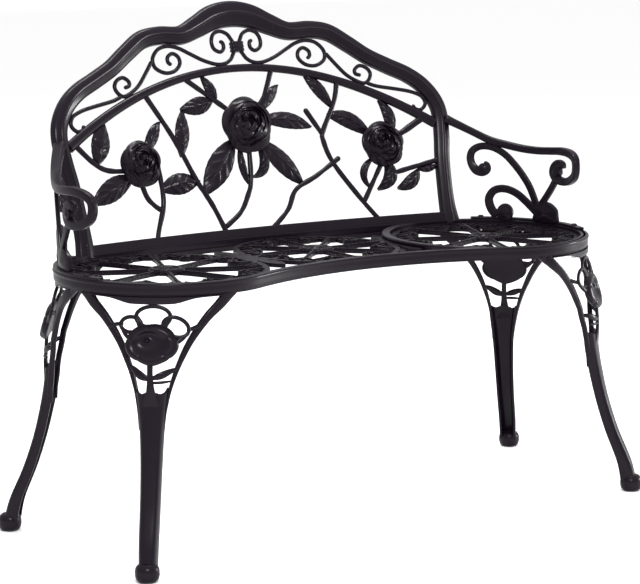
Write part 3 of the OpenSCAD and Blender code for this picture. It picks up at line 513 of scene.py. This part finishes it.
rim_ring = [[14, 396], [3.6, 396], [3.4, 396.4], [3.3, 398.6], [2.9, 399.0], [1.8, 399.4],
            [1.45, 400.2], [1.3, 403], [1.3, 408], [1.5, 410.2], [1.3, 410.9], [0.6, 411.3],
            [0.1, 412.2], [0, 413.4], [0.35, 414.8], [1.2, 415.7], [2.4, 416], [5, 415.8],
            [9, 415.8], [12, 416], [13.2, 415.7], [13.9, 414.9], [14, 413.5], [14, 404],
            [19, 404], [19, 400], [14, 400]]
edge, way = seat_outline()
q = np.array(rim_ring)
hoop = np.concatenate([edge[:, None] - way[:, None] * q[None, :, :1],
                       np.broadcast_to(q[None, :, 1:], (len(edge), len(q), 1))], -1)
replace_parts(make_mesh("rim_hoop", [hoop], coat, 30, loops=[0]), "seat_rim")

# %% [markdown]
# ## Wire scrolls
# Between rail and arch run bent rods that curl into snails. A rod is the simplest sweep of
# all: a circle along a curve. Its free end is rounded off as the real one is.

# %% Scroll rods, right then left
curl_top = [[4, 308], [8, 315], [15, 325], [28, 330], [41, 326], [47, 315], [45, 303],
            [34, 297], [26, 302], [26, 311], [32, 314]]
curl_long = [[4, 300], [9, 293], [16, 284], [29, 278], [46, 278], [69, 285], [94, 297],
             [113, 306], [133, 310], [152, 306], [165, 293], [165, 280], [156, 272], [142, 268],
             [126, 271], [115, 281], [116, 292], [126, 298], [136, 293], [137, 285], [131, 280]]
curl_mid = [[168, 288], [184, 269], [201, 251], [219, 240], [233, 236], [243, 242], [247, 252],
            [241, 261], [229, 265], [219, 259], [219, 252], [229, 249]]
curl_end = [[237, 236], [256, 230], [291, 224], [316, 219], [334, 212], [341, 203], [340, 195],
            [331, 188], [321, 190], [317, 197]]
ROD = 6.6
rods = [bar(on_back, c, ROD, ROD, round_section(14), 14 * len(c), ends=ROD / 2)
        for c in (curl_top, curl_long, curl_mid, curl_end)]
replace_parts(make_mesh("scroll_rods_right", rods, relief_coat_painted_lighter), "scrolls_right")
left_rods = mirrored(rods)
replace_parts(make_mesh("scroll_rods_left", left_rods, relief_coat_painted_lighter), "scrolls_left")

# %% The collar that ties the two sides, three rolled courses
COLLAR_H, COLLAR_HALF, COLLAR_W, COLLAR_SWELL, COLLAR_FLATTER = 304, 8.2, 21.5, 2.4, 10
course = np.linspace(-1, 1, 72)
wrap_w = COLLAR_W + COLLAR_SWELL * np.abs(np.cos(1.5 * np.pi * course)) ** 0.5
tie_line = np.stack([0 * course, COLLAR_H + COLLAR_HALF * course, wrap_w], -1)
tie = bar(on_back, tie_line, 1.0, wrap_w - COLLAR_FLATTER, soft_square(4), 72)
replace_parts(make_mesh("collar_wrap", [tie], relief_coat_painted_lighter, 50), "collar")

# %% [markdown]
# ## Rose branches
# The branches are cast twigs: nearly round, a little thicker at their joints. A pure tube
# looks like wire, so the width swells and shrinks slowly along the twig.

# %% Branch lines of the three sprays
left_branches = [
    [[-342, 170], [-315, 143], [-297, 130], [-277, 124], [-247, 122]],
    [[-190, 128], [-188, 103], [-190, 66], [-206, 29], [-214, 8]],
    [[-228, 112], [-220, 81], [-208, 66], [-194, 56]],
    [[-194, 239], [-150, 165], [-120, 99], [-96, 56], [-76, 8]]]
center_branches = [
    [[-78, 21], [-45, 42], [-26, 67], [-15, 92], [-8, 150]],
    [[-112, 258], [-31, 200]],
    [[59, 266], [36, 222], [12, 198]]]
right_branches = [
    [[6, 8], [46, 39], [68, 70], [112, 90], [162, 117]],
    [[181, 242], [168, 207], [139, 162], [136, 145], [148, 108], [188, 49], [220, 8]],
    [[110, 199], [136, 156]],
    [[246, 112], [194, 42]],
    [[350, 104], [304, 95], [256, 85]]]
stout_branches = [[[340, 179], [286, 151], [262, 145]]]
TWIG, STOUT_TWIG = 8.5, 11.5


def twig(points, thick):
    """A tube of width thick (1 + 0.07 sin(run / 9) + 0.04 sin(run / 3.7)), round ends."""
    q = smooth(points, 70)
    run = np.linspace(0, 1, 70) * np.linalg.norm(q[-1, :2] - q[0, :2])
    width = thick * (1 + 0.07 * np.sin(run / 9.0) + 0.04 * np.sin(run / 3.7))
    swollen = np.column_stack([q, width])
    return bar(on_back, swollen, 1.0, thick * 0.95, round_section(14), 90, ends=4.0)


all_branches = left_branches + center_branches + right_branches + stout_branches
print("branches:", len(all_branches))

# %% [markdown]
# ## Leaves
# Each leaf is a thin, arched blade with a raised middle rib and side veins that run toward
# the tip, and its edge is faintly toothed. The blade is a function of the way along (u) and
# the way across (v): the outline gives the width, a narrow bell gives the rib and a cosine
# gives the veins.

# %% A veined leaf
LEAF_THICK, LEAF_LIFT, LEAF_BEND, VEINS = 5.0, 5.6, 4.5, 5
RIB_H, RIB_HALF_W, VEIN_H, VEIN_SLANT = 2.3, 1.5, 1.9, 0.24


def leaf(base, middle, tip, width, twist):
    """Front: arch (1 - v^2) + rib exp(-(v/s)^2) + vein |cos|^7 of n pi (u - 0.24 |v|)."""
    u = np.linspace(0, 1, 44)[:, None]
    v = np.linspace(-1, 1, 31)[None]
    base, middle, tip = (np.asarray(p, float) for p in (base, middle, tip))
    line = base * (1 - u) * (1 - 2 * u) + middle * 4 * u * (1 - u) + tip * u * (2 * u - 1)
    along = np.gradient(line, axis=0)
    across = unit(np.stack([-along[:, 1], along[:, 0]], -1))
    share = 0.08 + 0.92 * np.sin(np.pi * (0.025 + 0.955 * u)) ** 0.85
    tooth = 1 + 0.014 * np.cos(2 * np.pi * VEINS * 1.5 * u)
    half = width / 2 * share * tooth
    flat = line[:, None] + across[:, None] * (half * v)[..., None]
    arch = LEAF_LIFT * (1 - v ** 2) * (0.35 + 0.65 * share) - LEAF_LIFT * 0.75
    rib = RIB_H * np.exp(-(v * half / RIB_HALF_W) ** 2)
    vein = VEIN_H * np.abs(np.cos(np.pi * VEINS * (u - np.abs(v) * VEIN_SLANT))) ** 7
    vein = vein * (1 - v ** 2) ** 0.4 * np.clip(np.abs(v) * 5, 0, 1) * share
    roll = twist * v * half * 0.12
    bend = LEAF_BEND * np.sin(np.pi * u) - 0.5
    front = arch + rib + vein + roll + bend
    back = arch + roll + bend - LEAF_THICK * 0.45 * (1 - v ** 4) - 0.4
    x, h = flat[..., 0], flat[..., 1]
    return shell(on_back(x, h, front), on_back(x, h, back))


# %% Leaf places of the three sprays
left_leaves = [
    [[-301, 136], [-291, 166], [-276, 199], 38], [[-235, 112], [-282, 96], [-320, 78], 36],
    [[-209, 143], [-190, 171], [-170, 193], 23], [[-187, 88], [-152, 95], [-112, 97], 34],
    [[-138, 136], [-132, 172], [-122, 208], 30], [[-62, 220], [-92, 214], [-126, 210], 28],
    [[-55, 218], [-64, 238], [-76, 262], 22]]
center_leaves = [
    [[14, 194], [44, 220], [68, 240], 21], [[22, 186], [74, 182], [119, 170], 28],
    [[-33, 157], [-71, 116], [-104, 76], 42], [[-22, 150], [-27, 114], [-16, 84], 16],
    [[10, 156], [16, 114], [-8, 96], 18], [[13, 158], [51, 115], [86, 80], 36]]
right_leaves = [
    [[167, 198], [143, 230], [121, 256], 25], [[231, 150], [192, 176], [153, 188], 27],
    [[265, 146], [269, 179], [255, 208], 25], [[231, 115], [203, 90], [214, 64], 15],
    [[246, 112], [253, 82], [226, 61], 24], [[310, 91], [291, 71], [264, 61], 23],
    [[308, 92], [326, 90], [348, 97], 12]]
sprays = {"left": (left_branches, [], left_leaves),
          "center": (center_branches, [], center_leaves),
          "right": (right_branches, stout_branches, right_leaves)}
for side, (branches, stout, leaves) in sprays.items():
    grids = [twig(b, TWIG) for b in branches] + [twig(b, STOUT_TWIG) for b in stout]
    grids += [leaf(b, m, t, w, (-1) ** k) for k, (b, m, t, w) in enumerate(leaves)]
    spray = make_mesh("spray_" + side, grids, relief_coat_painted_lighter, 60)
    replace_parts(spray, "vine_" + side)

# %% [markdown]
# ## Roses
# A rose is petals wrapped round a rolled bud, like the coats of an onion. Sculpting each by
# hand would take long, and a ball with bumps would not read as a rose, so one petal is a
# function: it lies on a dome, runs from its base to its lip, and the lip stands a little
# proud of the next coat. The bud sits off the middle, so the lips gather on one side and
# the petals on the other side look broad and smooth, as on the real casting. A coat is
# told by its count of petals, the shares of the radius where a petal starts and ends, its
# step down and its first angle.

# %% One petal, then a rose of them
PETAL_COATS = [(5, 0.97, 0.8, 0.0, -0.9), (5, 0.88, 0.65, 1.2, -0.35),
               (5, 0.75, 0.52, 2.2, 0.3), (4, 0.62, 0.4, 3.2, 1.3),
               (4, 0.5, 0.29, 4.0, 0.6), (3, 0.38, 0.2, 4.8, 2.3),
               (3, 0.28, 0.12, 5.4, 0.4), (2, 0.18, 0.07, 5.8, 1.2)]
ROSE_BACK = [[0.02, 12], [0.3, 11], [0.55, 8], [0.75, 4], [0.9, 1], [0.97, -1],
             [0.93, -3], [0.3, -4], [0.02, -4]]
PETAL_THICK, OUTER_COAT = 1.5, 0.95


def petal(turn, spread, base, lip, coat_step, seed):
    """Polar grid from base to lip: height = dome (1 - share^2.4) - step + lip u^4."""
    u = np.linspace(0, 1, 22)[:, None]
    v = np.linspace(-1, 1, 35)[None]
    a = turn + spread * v
    wave = 0.07 * np.sin(2.9 * v + seed) + 0.13 * np.abs(v) ** 3
    share = base + (lip * (1 + wave) - base) * u ** 0.9
    dome = 2 + 21 * (1 - share ** 2.4)
    swell = np.sin(np.pi * u)
    bulge = 1.9 * np.sin(2.6 * v + 2 * seed) * swell + 1.1 * (1 - v ** 2) * swell
    rise = 3.0 * u ** 4 * (1 - 0.5 * v ** 2)
    out = dome - coat_step + bulge + rise - 0.8 * v - 1.4 * np.abs(v) ** 4
    share = share * (1 + 0.1 * (0.9 - 2 * v ** 2) * (1 - u) ** 2)
    lowest = np.exp(-(np.sin((a + np.pi / 2) / 2) / 0.11) ** 2)
    droop = lowest * (1 - u) ** 2 * 0.07 * (base > OUTER_COAT)
    return a, share * (1 + droop), out


def rose(place, radius, seed):
    """Coats of petals round a spiral bud, in the rose's own plane, then onto the back."""
    bud = np.array([-0.24, 0.16]) * radius
    grids = []
    for k, (count, base, lip, step, start) in enumerate(PETAL_COATS):
        spread = 1.3 * np.pi / count
        for i in range(count):
            turn = start + 2 * np.pi * i / count
            a, share, out = petal(turn, spread, base, lip, step, seed + 2 * i + k)
            x = bud[0] * (1 - share) + radius * share * np.cos(a)
            y = bud[1] * (1 - share) + radius * 0.94 * share * np.sin(a)
            grids.append(shell(place(x, y, out), place(x, y, out - PETAL_THICK)))
    w = np.linspace(0, 1, 120)
    coil = 2 * np.pi * 1.8 * w + seed
    r = radius * (0.1 - 0.08 * w)
    line = place(bud[0] + r * np.cos(coil), bud[1] + r * np.sin(coil), 16 + 3 * w)
    face = place(0 * w, 0 * w, 1 + 0 * w) - place(0 * w, 0 * w, 0 * w)
    grids.append(sweep(line, face, radius * 0.05, 8.0, round_section(10), 2.0))
    ring = round_section(40) * [radius * 0.93, radius * 0.88]
    grids.append(pillow(place, ring, bud * 0.5, ROSE_BACK))
    return grids


ROSE_SHIFT, ROSE_PROUD = 2.5, 1.5
rose_spots = {"left": [-227, 130, 37], "center": [-11, 178, 46], "right": [243, 134, 38]}
for side, (cx, ch, r) in rose_spots.items():
    def spot(x, h, out, cx=cx, ch=ch):
        """A rose's own plane set on the back: low parts sink a little more, high ones rise."""
        lifted = out + ROSE_PROUD + 3 * np.clip(out / 8, -1.5, 0.5)
        return on_back(cx + ROSE_SHIFT + x, ch + h, lifted)
    petals = make_mesh("petals_" + side, rose(spot, r, cx * 0.01), relief_coat_painted_lighter, 60)
    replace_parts(petals, "rose_" + side)

# %% [markdown]
# ## Arms
# Each arm is a flattened bar that rises from the seat, rolls into a volute at the front and
# sweeps up into the post. Two thinner scrolls and a leaf cluster carry it. The bars are
# drawn flat as angle and height, and the arm's surface bends them round the seat.

# %% Arm bars
arm_rail = [[ARM_END_A - 2, ARM_TOP, 1.15], [67, 165, 1.1], [58, 151, 1], [48, 138, 1],
            [37, 131, 1], [26, 126.5, 1], [15, 125, 1], [4, 126.5, 1.02], [-5, 128, 1.05],
            [-14.5, 126, 1.05], [-21, 119, 1.05], [-22.8, 106, 1.05], [-21, 91, 1.05],
            [-14, 80.5, 1.05], [-7, 77.5, 1.05], [-1, 81, 1.2], [1.5, 90, 1.45],
            [0.5, 99.5, 1.45], [-2.3, 106, 1.2], [-5.4, 104.5, 1.05], [-5.2, 100, 0.95]]
arm_strut = [[0, 79], [5, 59], [12, 34]]
arm_scroll = [[15, 28, 1], [20.5, 60, 1], [26, 81, 1], [32, 99, 1], [38, 114, 1],
              [44.5, 124, 1], [50, 127.5, 1.03], [54.5, 126, 1.06], [58, 119, 1.1],
              [59.2, 108, 1.14], [58.4, 96, 1.2], [56, 87, 1.35], [52.6, 84.8, 1.5],
              [50.2, 88.5, 1.5], [50.3, 94, 1.35], [52, 96, 1.2]]
arm_low_scroll = [[14, 16, 1.1], [22.5, 35, 1.1], [29, 48, 1.1], [35, 55, 1.12],
                  [40.5, 56.5, 1.15], [45, 52.5, 1.2], [47.6, 43, 1.25], [47.9, 33, 1.3],
                  [46.2, 21, 1.3], [42.6, 9, 1.3]]
cluster = [[16, 33], [12, 36], [8.5, 39.5], [4.5, 38], [-0.5, 30], [-2, 21], [-1, 4],
           [16.5, 4], [17.5, 18]]
ARM_RAIL_W, ARM_BAR_W, ARM_BAR_DEPTH, BAR_END = 12.6, 11.5, 7.0, 3.0
STRIP_UP, STRIP_W, STRIP_H = 2, 12.0, 4.0
DEGREES = 57.3
flat_bar = soft_square(5, 36)


def button(a, h, r, t):
    """Turned button: a disc of radius r and thickness t, domed in the middle of both faces."""
    ring = round_section(28) * [r / RIM_MID_R * DEGREES, r]
    prof = [[0.02, 1.5], [0.35, 1.3], [0.55, 0.6], [0.62, 0.25], [0.8, 0.25], [0.93, 0.0],
            [1, -1.5]]
    front = [[s, t / 2 + o] for s, o in prof]
    back = [[s, -t / 2 - o] for s, o in prof[::-1]]
    return pillow(on_arm, ring + [a, h], [a, h], front + back)


def arm_bar(points, steps, ends=BAR_END):
    """One of the thinner bars under the arm."""
    return bar(on_arm, points, ARM_BAR_W, ARM_BAR_DEPTH, flat_bar, steps, ends)


arm_depth = np.interp(np.linspace(0, 1, 240), [0, 0.25, 0.5, 1], [20, 16, 11, 11])
arm_grids = [bar(on_arm, arm_rail, ARM_RAIL_W, arm_depth, flat_bar, 240, BAR_END),
             arm_bar(arm_strut, 30, 0.0), arm_bar(arm_scroll, 170),
             arm_bar(arm_low_scroll, 130), button(-1, 93, 9, 12),
             button(51.9, 90.5, 8, 8), button(37.5, 16, 15.5, 9)]
dome = [[0.02, 7], [0.3, 6], [0.6, 5.2], [0.85, 4.4], [0.97, 3.2], [1, 0], [0.97, -3.2],
        [0.85, -4.4], [0.6, -5.2], [0.3, -6], [0.02, -7]]
arm_grids.append(pillow(on_arm, closed_smooth(cluster, 48), [8, 20], dome))
t = np.radians(np.linspace(-24, 60, 60))
strip_line = np.stack([LOBE_X + RIM_MID_R * np.cos(t), LOBE_Y + RIM_MID_R * np.sin(t),
                       np.full_like(t, SEAT_TOP + STRIP_UP)], -1)
strip_face = np.tile([0, 0, 1.0], (len(t), 1))
arm_grids.append(sweep(strip_line, strip_face, STRIP_W, STRIP_H, soft_square(6)))
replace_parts(make_mesh("arm_scrollwork_right", arm_grids, coat), "armrest_right")
left_arm = mirrored(arm_grids)
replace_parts(make_mesh("arm_scrollwork_left", left_arm, coat), "armrest_left")

# %% [markdown]
# ## Legs
# A cabriole leg bends out, then in. Its front is a broad, eased face, hollow behind, and at
# the top it opens into a pierced panel with a flower. The shin is a shell whose section
# widens toward the top, and the panel's bars are drawn flat and curled round the seat. A
# row of the shin's curve is a height, a reach, half a width and how deep the sides go.

# %% The shin, the foot and the panel
WALL, CURL_FROM, CURL_SPAN = 3.6, 225, 33
leg_curve = [[14, 259, 13.6, 22], [50, 249, 14.5, 20], [100, 226.5, 15, 18], [150, 209, 16, 17],
             [200, 196.5, 18, 17], [235, 190, 21.5, 17], [258, 187.5, 24.5, 17]]


def shin():
    """Shell: x = reach - depth * side(v), y = width * v; middle and corners rise at the top."""
    q = smooth(leg_curve, 70)
    v = np.linspace(-1, 1, 41)[None]
    fall = 1 - (1 - np.abs(v) ** 5) ** 0.5 + 0.05 * v ** 2
    near_top = np.clip((q[:, :1] - CURL_FROM) / CURL_SPAN, 0, 1) ** 2
    lift = 7 * np.abs(v) ** 8 + 5 * np.exp(-(v / 0.3) ** 2)
    z = q[:, :1] * RIM_UNDER / DRAWN_UNDER + near_top * lift
    face, half, deep = reach(q[:, 1:2]), q[:, 2:3], q[:, 3:4]
    front = np.stack([face - fall * deep, v * half, z], -1)
    back = np.stack([face - WALL - fall * (deep - WALL), v * (half - WALL), z], -1)
    return shell(front, back)


def turned(profile, centre, n=36):
    """Surface of revolution: (r(u) cos v, r(u) sin v, z(u)) round an upright axis."""
    p = smooth(profile, 40)
    ring = round_section(n)
    xy = p[:, None, :1] * ring[None]
    return np.concatenate([xy + centre, np.broadcast_to(p[:, None, 1:], xy.shape[:2] + (1,))], -1)


strut = [[15, 205, 4, -8], [17.5, 232, 5, -9.5], [23, 262, 5.6, -13], [31.5, 290, 7.2, -15],
         [42, 315, 9, -13.5], [56, 339, 10.2, -9.5], [76, 364, 12.2, -4.5], [97, 382, 15, -1],
         [113, 396, 18, 0], [119, 401, 19, 0]]
STRUT_LEAN, LEAN_FROM, STRUT_DEPTH, STEM_DEPTH = 0.03, 222, 8.6, 5.2
stem = [[0, 240, 27, -1.5], [-0.5, 254, 19, -0.5], [-0.5, 264, 12.5, 0], [-1, 280, 9, 0],
        [-1, 300, 8.6, 0], [-0.5, 309, 13, 0], [-0.5, 316, 26, -1]]
square_bar = soft_square(4)
foot_profile = [[0.2, 2.2], [13.4, 2.2], [16.8, 5.5], [18, 12.5], [17, 20], [12.6, 25.6],
                [6, 27.7], [0.3, 28]]
leg_grids = [shin(), turned(foot_profile, [FOOT_REACH, 0])]
for s in (-1, 1):
    leaning = [[s * p[0] + STRUT_LEAN * (p[1] - LEAN_FROM), *p[1:]] for p in strut]
    leg_grids.append(bar(on_panel, leaning, 1.0, STRUT_DEPTH, square_bar, 80))
leg_grids.append(bar(on_panel, stem, 1.0, STEM_DEPTH, square_bar, 50))

# %% The cup-shaped bloom, its loops and leaves
cup_profile = [[0.01, 5.4], [0.05, 5.1], [0.09, 3.4], [0.13, 1.5], [0.22, 0.9], [0.34, 1.3],
               [0.46, 2.9], [0.56, 5.2], [0.66, 7.4], [0.76, 8.5], [0.88, 7.2], [0.96, 4.6],
               [1.0, 1.2], [0.97, -2.0], [0.8, -3.2], [0.4, -3.4], [0.01, -3.4]]
LOOP_HALF_W, LOOP_HALF_DEPTH, LOOP_PROUD = 3, 2.6, 1.0


def bloom(cx, cz, w, h):
    """Cup: share(u) of the outline, out(u) proud; the lip has five petals, the dish sits high."""
    share, proud = smooth(cup_profile, 110).T[:, :, None]
    v = np.linspace(0, 2 * np.pi, 90, endpoint=False)[None]
    lip = np.clip((share - 0.55) / 0.45, 0, 1)
    petals = np.abs(np.cos(2.5 * v + 0.5)) ** 0.6
    chin = np.exp(-((v - 1.5 * np.pi) / 0.26) ** 2)
    edge = 1 + lip * (0.05 * petals - 0.035) + 0.08 * lip * chin
    crease = np.exp(-(np.cos(2.5 * v + 0.5) / 0.16) ** 2)
    front = np.clip(proud / 5, 0, 1)
    x = cx - 6.5 * (1 - share) + w * share * edge * np.cos(v)
    z = cz + 5.5 * (1 - share) + h * share * edge * np.sin(v)
    out = proud - 1.7 * crease * lip * front + 1.8 * lip * front * np.sin(v + 2.6)
    return on_panel(x, z, out)


def loop_ring(cx, cz, w, h, turn):
    """An ellipse turned in the panel, carried round itself with a nearly round section."""
    e = round_section(48) * [w, h]
    t = math.radians(turn)
    q = np.stack([cx + e[:, 0] * math.cos(t) - e[:, 1] * math.sin(t),
                  cz + e[:, 0] * math.sin(t) + e[:, 1] * math.cos(t)], -1)
    path = on_panel(q[:, 0], q[:, 1], LOOP_PROUD)
    t = unit(np.roll(path, -1, 0) - np.roll(path, 1, 0))
    out = on_panel(q[:, 0], q[:, 1], LOOP_PROUD + 1) - path
    out = unit(out - t * np.sum(out * t, -1, keepdims=True))
    c = round_section(14)
    across = np.cross(t, out)[:, None] * LOOP_HALF_W * c[None, :, :1]
    return path[:, None] + across + out[:, None] * LOOP_HALF_DEPTH * c[None, :, 1:]


leg_grids.append(bloom(0.5, 330.0, 35.5, 28.0))
loops = [loop_ring(2, 367.5, 24.2, 14.6, 0), loop_ring(-28.6, 356.4, 14.6, 10.6, 0),
         loop_ring(33.2, 353, 18.3, 13, -24)]
small_bars = [[[-40, 357, 6, 0], [-52, 355, 6, -2], [-64, 351, 8, -4]],
              [[48, 347, 6, 0], [57, 350, 6, -2], [68, 353, 8, -4]],
              [[1, 279, 4, 0], [-12, 284.5, 12, -1], [-22, 292, 9.5, -6], [-31, 297.5, 4, -14]],
              [[-1, 280.5, 4, 0], [12, 285, 10.5, -1], [24, 290, 8.5, -6], [35, 293, 4, -14]],
              [[0, 275, 4, 0], [13, 275.5, 4.6, -1], [26, 276.5, 2.6, -6]],
              [[49, 343, 4, 0], [40, 336, 7, 1], [28, 328, 6, 2]],
              [[-42, 351, 4, 0], [-36, 343, 6, 1], [-28, 335, 5, 2]],
              [[-24, 371, 3, 1], [-19, 364, 8, 1], [-15, 353, 9, 1]],
              [[27, 371, 3, 1], [23, 364, 8, 1], [17, 353, 9, 1]]]
SMALL_DEPTH, SMALL_END = 4.4, 1.5
leg_grids += [bar(on_panel, b, 1.0, SMALL_DEPTH, round_section(16), 30, SMALL_END)
              for b in small_bars]

# %% Apron and tab under the rim
TAB_R, TAB_DROP, TAB_W, TAB_H = 160.5, 2.0, 13.0, 4.0
apron_s = np.array([-118, -84, -64, -50, -38, -25, 25, 38, 50, 64, 84, 118.0])
apron_h = np.array([1.5, 1.5, 2.5, 5.5, 8.5, 10, 10, 8.5, 5.5, 2.5, 1.5, 1.5])
s = np.linspace(-117, 117, 120)
h = np.interp(s, *smooth(np.stack([apron_s, apron_h], -1), 200).T)
ang = s[:, None] / PANEL_REF
z = RIM_UNDER - h[:, None] * np.array([0, 0.5, 0.85, 1.0])
r_out = LOBE_R - 0.5 - np.array([0, 0, 0.15, 1.0])
r_in = np.full(4, LEG_TOP_R)
front = np.stack([r_out * np.cos(ang), r_out * np.sin(ang), z], -1)
back = np.stack([r_in * np.cos(ang), r_in * np.sin(ang), z], -1)
leg_grids.append(shell(front, back))
t = np.radians(np.linspace(-18, 18, 24))
tab_z = np.full_like(t, RIM_UNDER - TAB_DROP)
tab_line = np.stack([TAB_R * np.cos(t), TAB_R * np.sin(t), tab_z], -1)
tab_face = np.tile([0, 0, 1.0], (len(t), 1))
leg_grids.append(sweep(tab_line, tab_face, TAB_W, TAB_H, soft_square(8)))


# %% All four legs, each turned to its place
def stand(grids, angle, set_in, side):
    """Turn the leg about the seat's end by its angle, then set it on its side of the bench."""
    c, s = math.cos(math.radians(angle)), math.sin(math.radians(angle))
    stood = []
    for g in grids:
        out, along = g[..., 0] - set_in, g[..., 1]
        x, y = LOBE_X + out * c - along * s, LOBE_Y + out * s + along * c
        stood.append(np.stack([x, y, g[..., 2]], -1))
    return stood if side > 0 else mirrored(stood)


FRONT_ANGLE, REAR_ANGLE, REAR_SET_IN = -52, 40.5, 3
flip = [g * [1, -1, 1] for g in leg_grids]
flip_loops = [g * [1, -1, 1] for g in loops]
for name, angle, set_in, side in (
        ("front_right", FRONT_ANGLE, 0, 1), ("front_left", FRONT_ANGLE, 0, -1),
        ("rear_right", REAR_ANGLE, REAR_SET_IN, 1), ("rear_left", REAR_ANGLE, REAR_SET_IN, -1)):
    grids = stand(flip, angle, set_in, side)
    n = len(grids)
    grids += stand(flip_loops, angle, set_in, side)
    piece = make_mesh("leg_casting_" + name, grids, coat, 40, loops=range(n, n + 3))
    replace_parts(piece, "leg_" + name)

# %% [markdown]
# ## Finishes on the castings that stay
# The three medallions and the fittings are already true to shape in the frame. They only
# need their finish, which goes into their material slots.

# %% Coat the rest
# The medallions take the darker copy of the coat, a painted shade.
finish_of = {"medallion_left": lace_coat_painted_darker, "medallion_center": lace_coat_painted_darker,
             "medallion_right": lace_coat_painted_darker, "leg_bolts": steel,
             "arm_bolts": coat, "post_bolts": steel, "foot_glides": plastic}
for node, finish in finish_of.items():
    casting = frame["nodes"][node]
    parts = [casting] if casting.type == "MESH" else casting.children_recursive
    for part in parts:
        for holder in part.material_slots:
            holder.material = finish
print("coated:", ", ".join(finish_of))

# %% [markdown]
# ## Studio
# A product photograph is taken on a pale sweep under large soft lights. The floor is a wide
# plane, the sky is an even white, and three big panels give the long soft highlights that
# show the ridges of dark metal.


# %% Floor and lights
def studio_floor():
    """A flat square, pale and matt."""
    half = 14.0
    corners = [[-half, -half, 0], [-half, half, 0], [half, -half, 0], [half, half, 0]]
    mesh = bpy.data.meshes.new("studio_floor")
    mesh.from_pydata(corners, [], [[0, 2, 3, 1]])
    f = Finish("pale_floor")
    mottle = f.node("ShaderNodeTexNoise", Vector=f.own_spot(), Scale=2.0, Detail=2.0)
    mesh.materials.append(f.set(Base_Color=(0.97, 0.97, 0.97, 1), Roughness=0.8 + mottle * 0.1))
    floor = bpy.data.objects.new("studio_floor", mesh)
    bpy.context.scene.collection.objects.link(floor)


def panel_light(name, place, target, size, power):
    """A rectangular area light at a place, turned toward a target."""
    data = bpy.data.lights.new(name, "AREA")
    data.shape, data.size, data.size_y, data.energy = "RECTANGLE", size[0], size[1], power
    lamp = bpy.data.objects.new(name, data)
    away = np.array(place, float) - target
    lamp.location = place
    tilt, turn = math.atan2(np.hypot(away[0], away[1]), away[2]), math.atan2(away[0], -away[1])
    lamp.rotation_euler = (tilt, 0, turn)
    bpy.context.scene.collection.objects.link(lamp)


studio_floor()
BENCH_MIDDLE = [0, 0, 0.5]
panel_light("key_panel", (-1.6, -2.6, 2.6), BENCH_MIDDLE, (0.9, 0.6), 80)
panel_light("side_panel", (2.7, -0.8, 0.6), BENCH_MIDDLE, (0.4, 0.7), 50)
panel_light("top_panel", (0.2, 0.5, 3.0), BENCH_MIDDLE, (1.6, 0.45), 80)
world = bpy.data.worlds.new("white_sweep")
world.use_nodes = True
sky = world.node_tree.nodes["Background"]
sky.inputs["Color"].default_value = (1, 1, 1, 1)
sky.inputs["Strength"].default_value = 1.0
bpy.context.scene.world = world
bpy.context.scene.view_settings.view_transform = "Standard"

# %% [markdown]
# ## Camera
# The photograph was taken from the left of the front, a little under four metres away, with
# a long lens. The camera's place was found by matching points of the bench with points of
# the picture, so the picture and the render can be laid over each other.

# %% The photograph's camera
AZIMUTH, ELEVATION, FOCAL_PX, PHOTO_PX, SENSOR_W = -34.49, 9.7, 2354.89, 640, 36.0
lens = bpy.data.cameras.new("photo_camera")
lens.sensor_fit, lens.sensor_width = "HORIZONTAL", SENSOR_W
lens.lens = FOCAL_PX * SENSOR_W / PHOTO_PX
lens.clip_end = 60
camera = bpy.data.objects.new("photo_camera", lens)
camera.location = (-2.08797, -3.04343 - CENTRE_Y * MM, 0.97126)
camera.rotation_euler = (math.radians(90 - ELEVATION), 0, math.radians(AZIMUTH))
bpy.context.scene.collection.objects.link(camera)
bpy.context.scene.camera = camera
print("lens", round(lens.lens, 1), "mm")
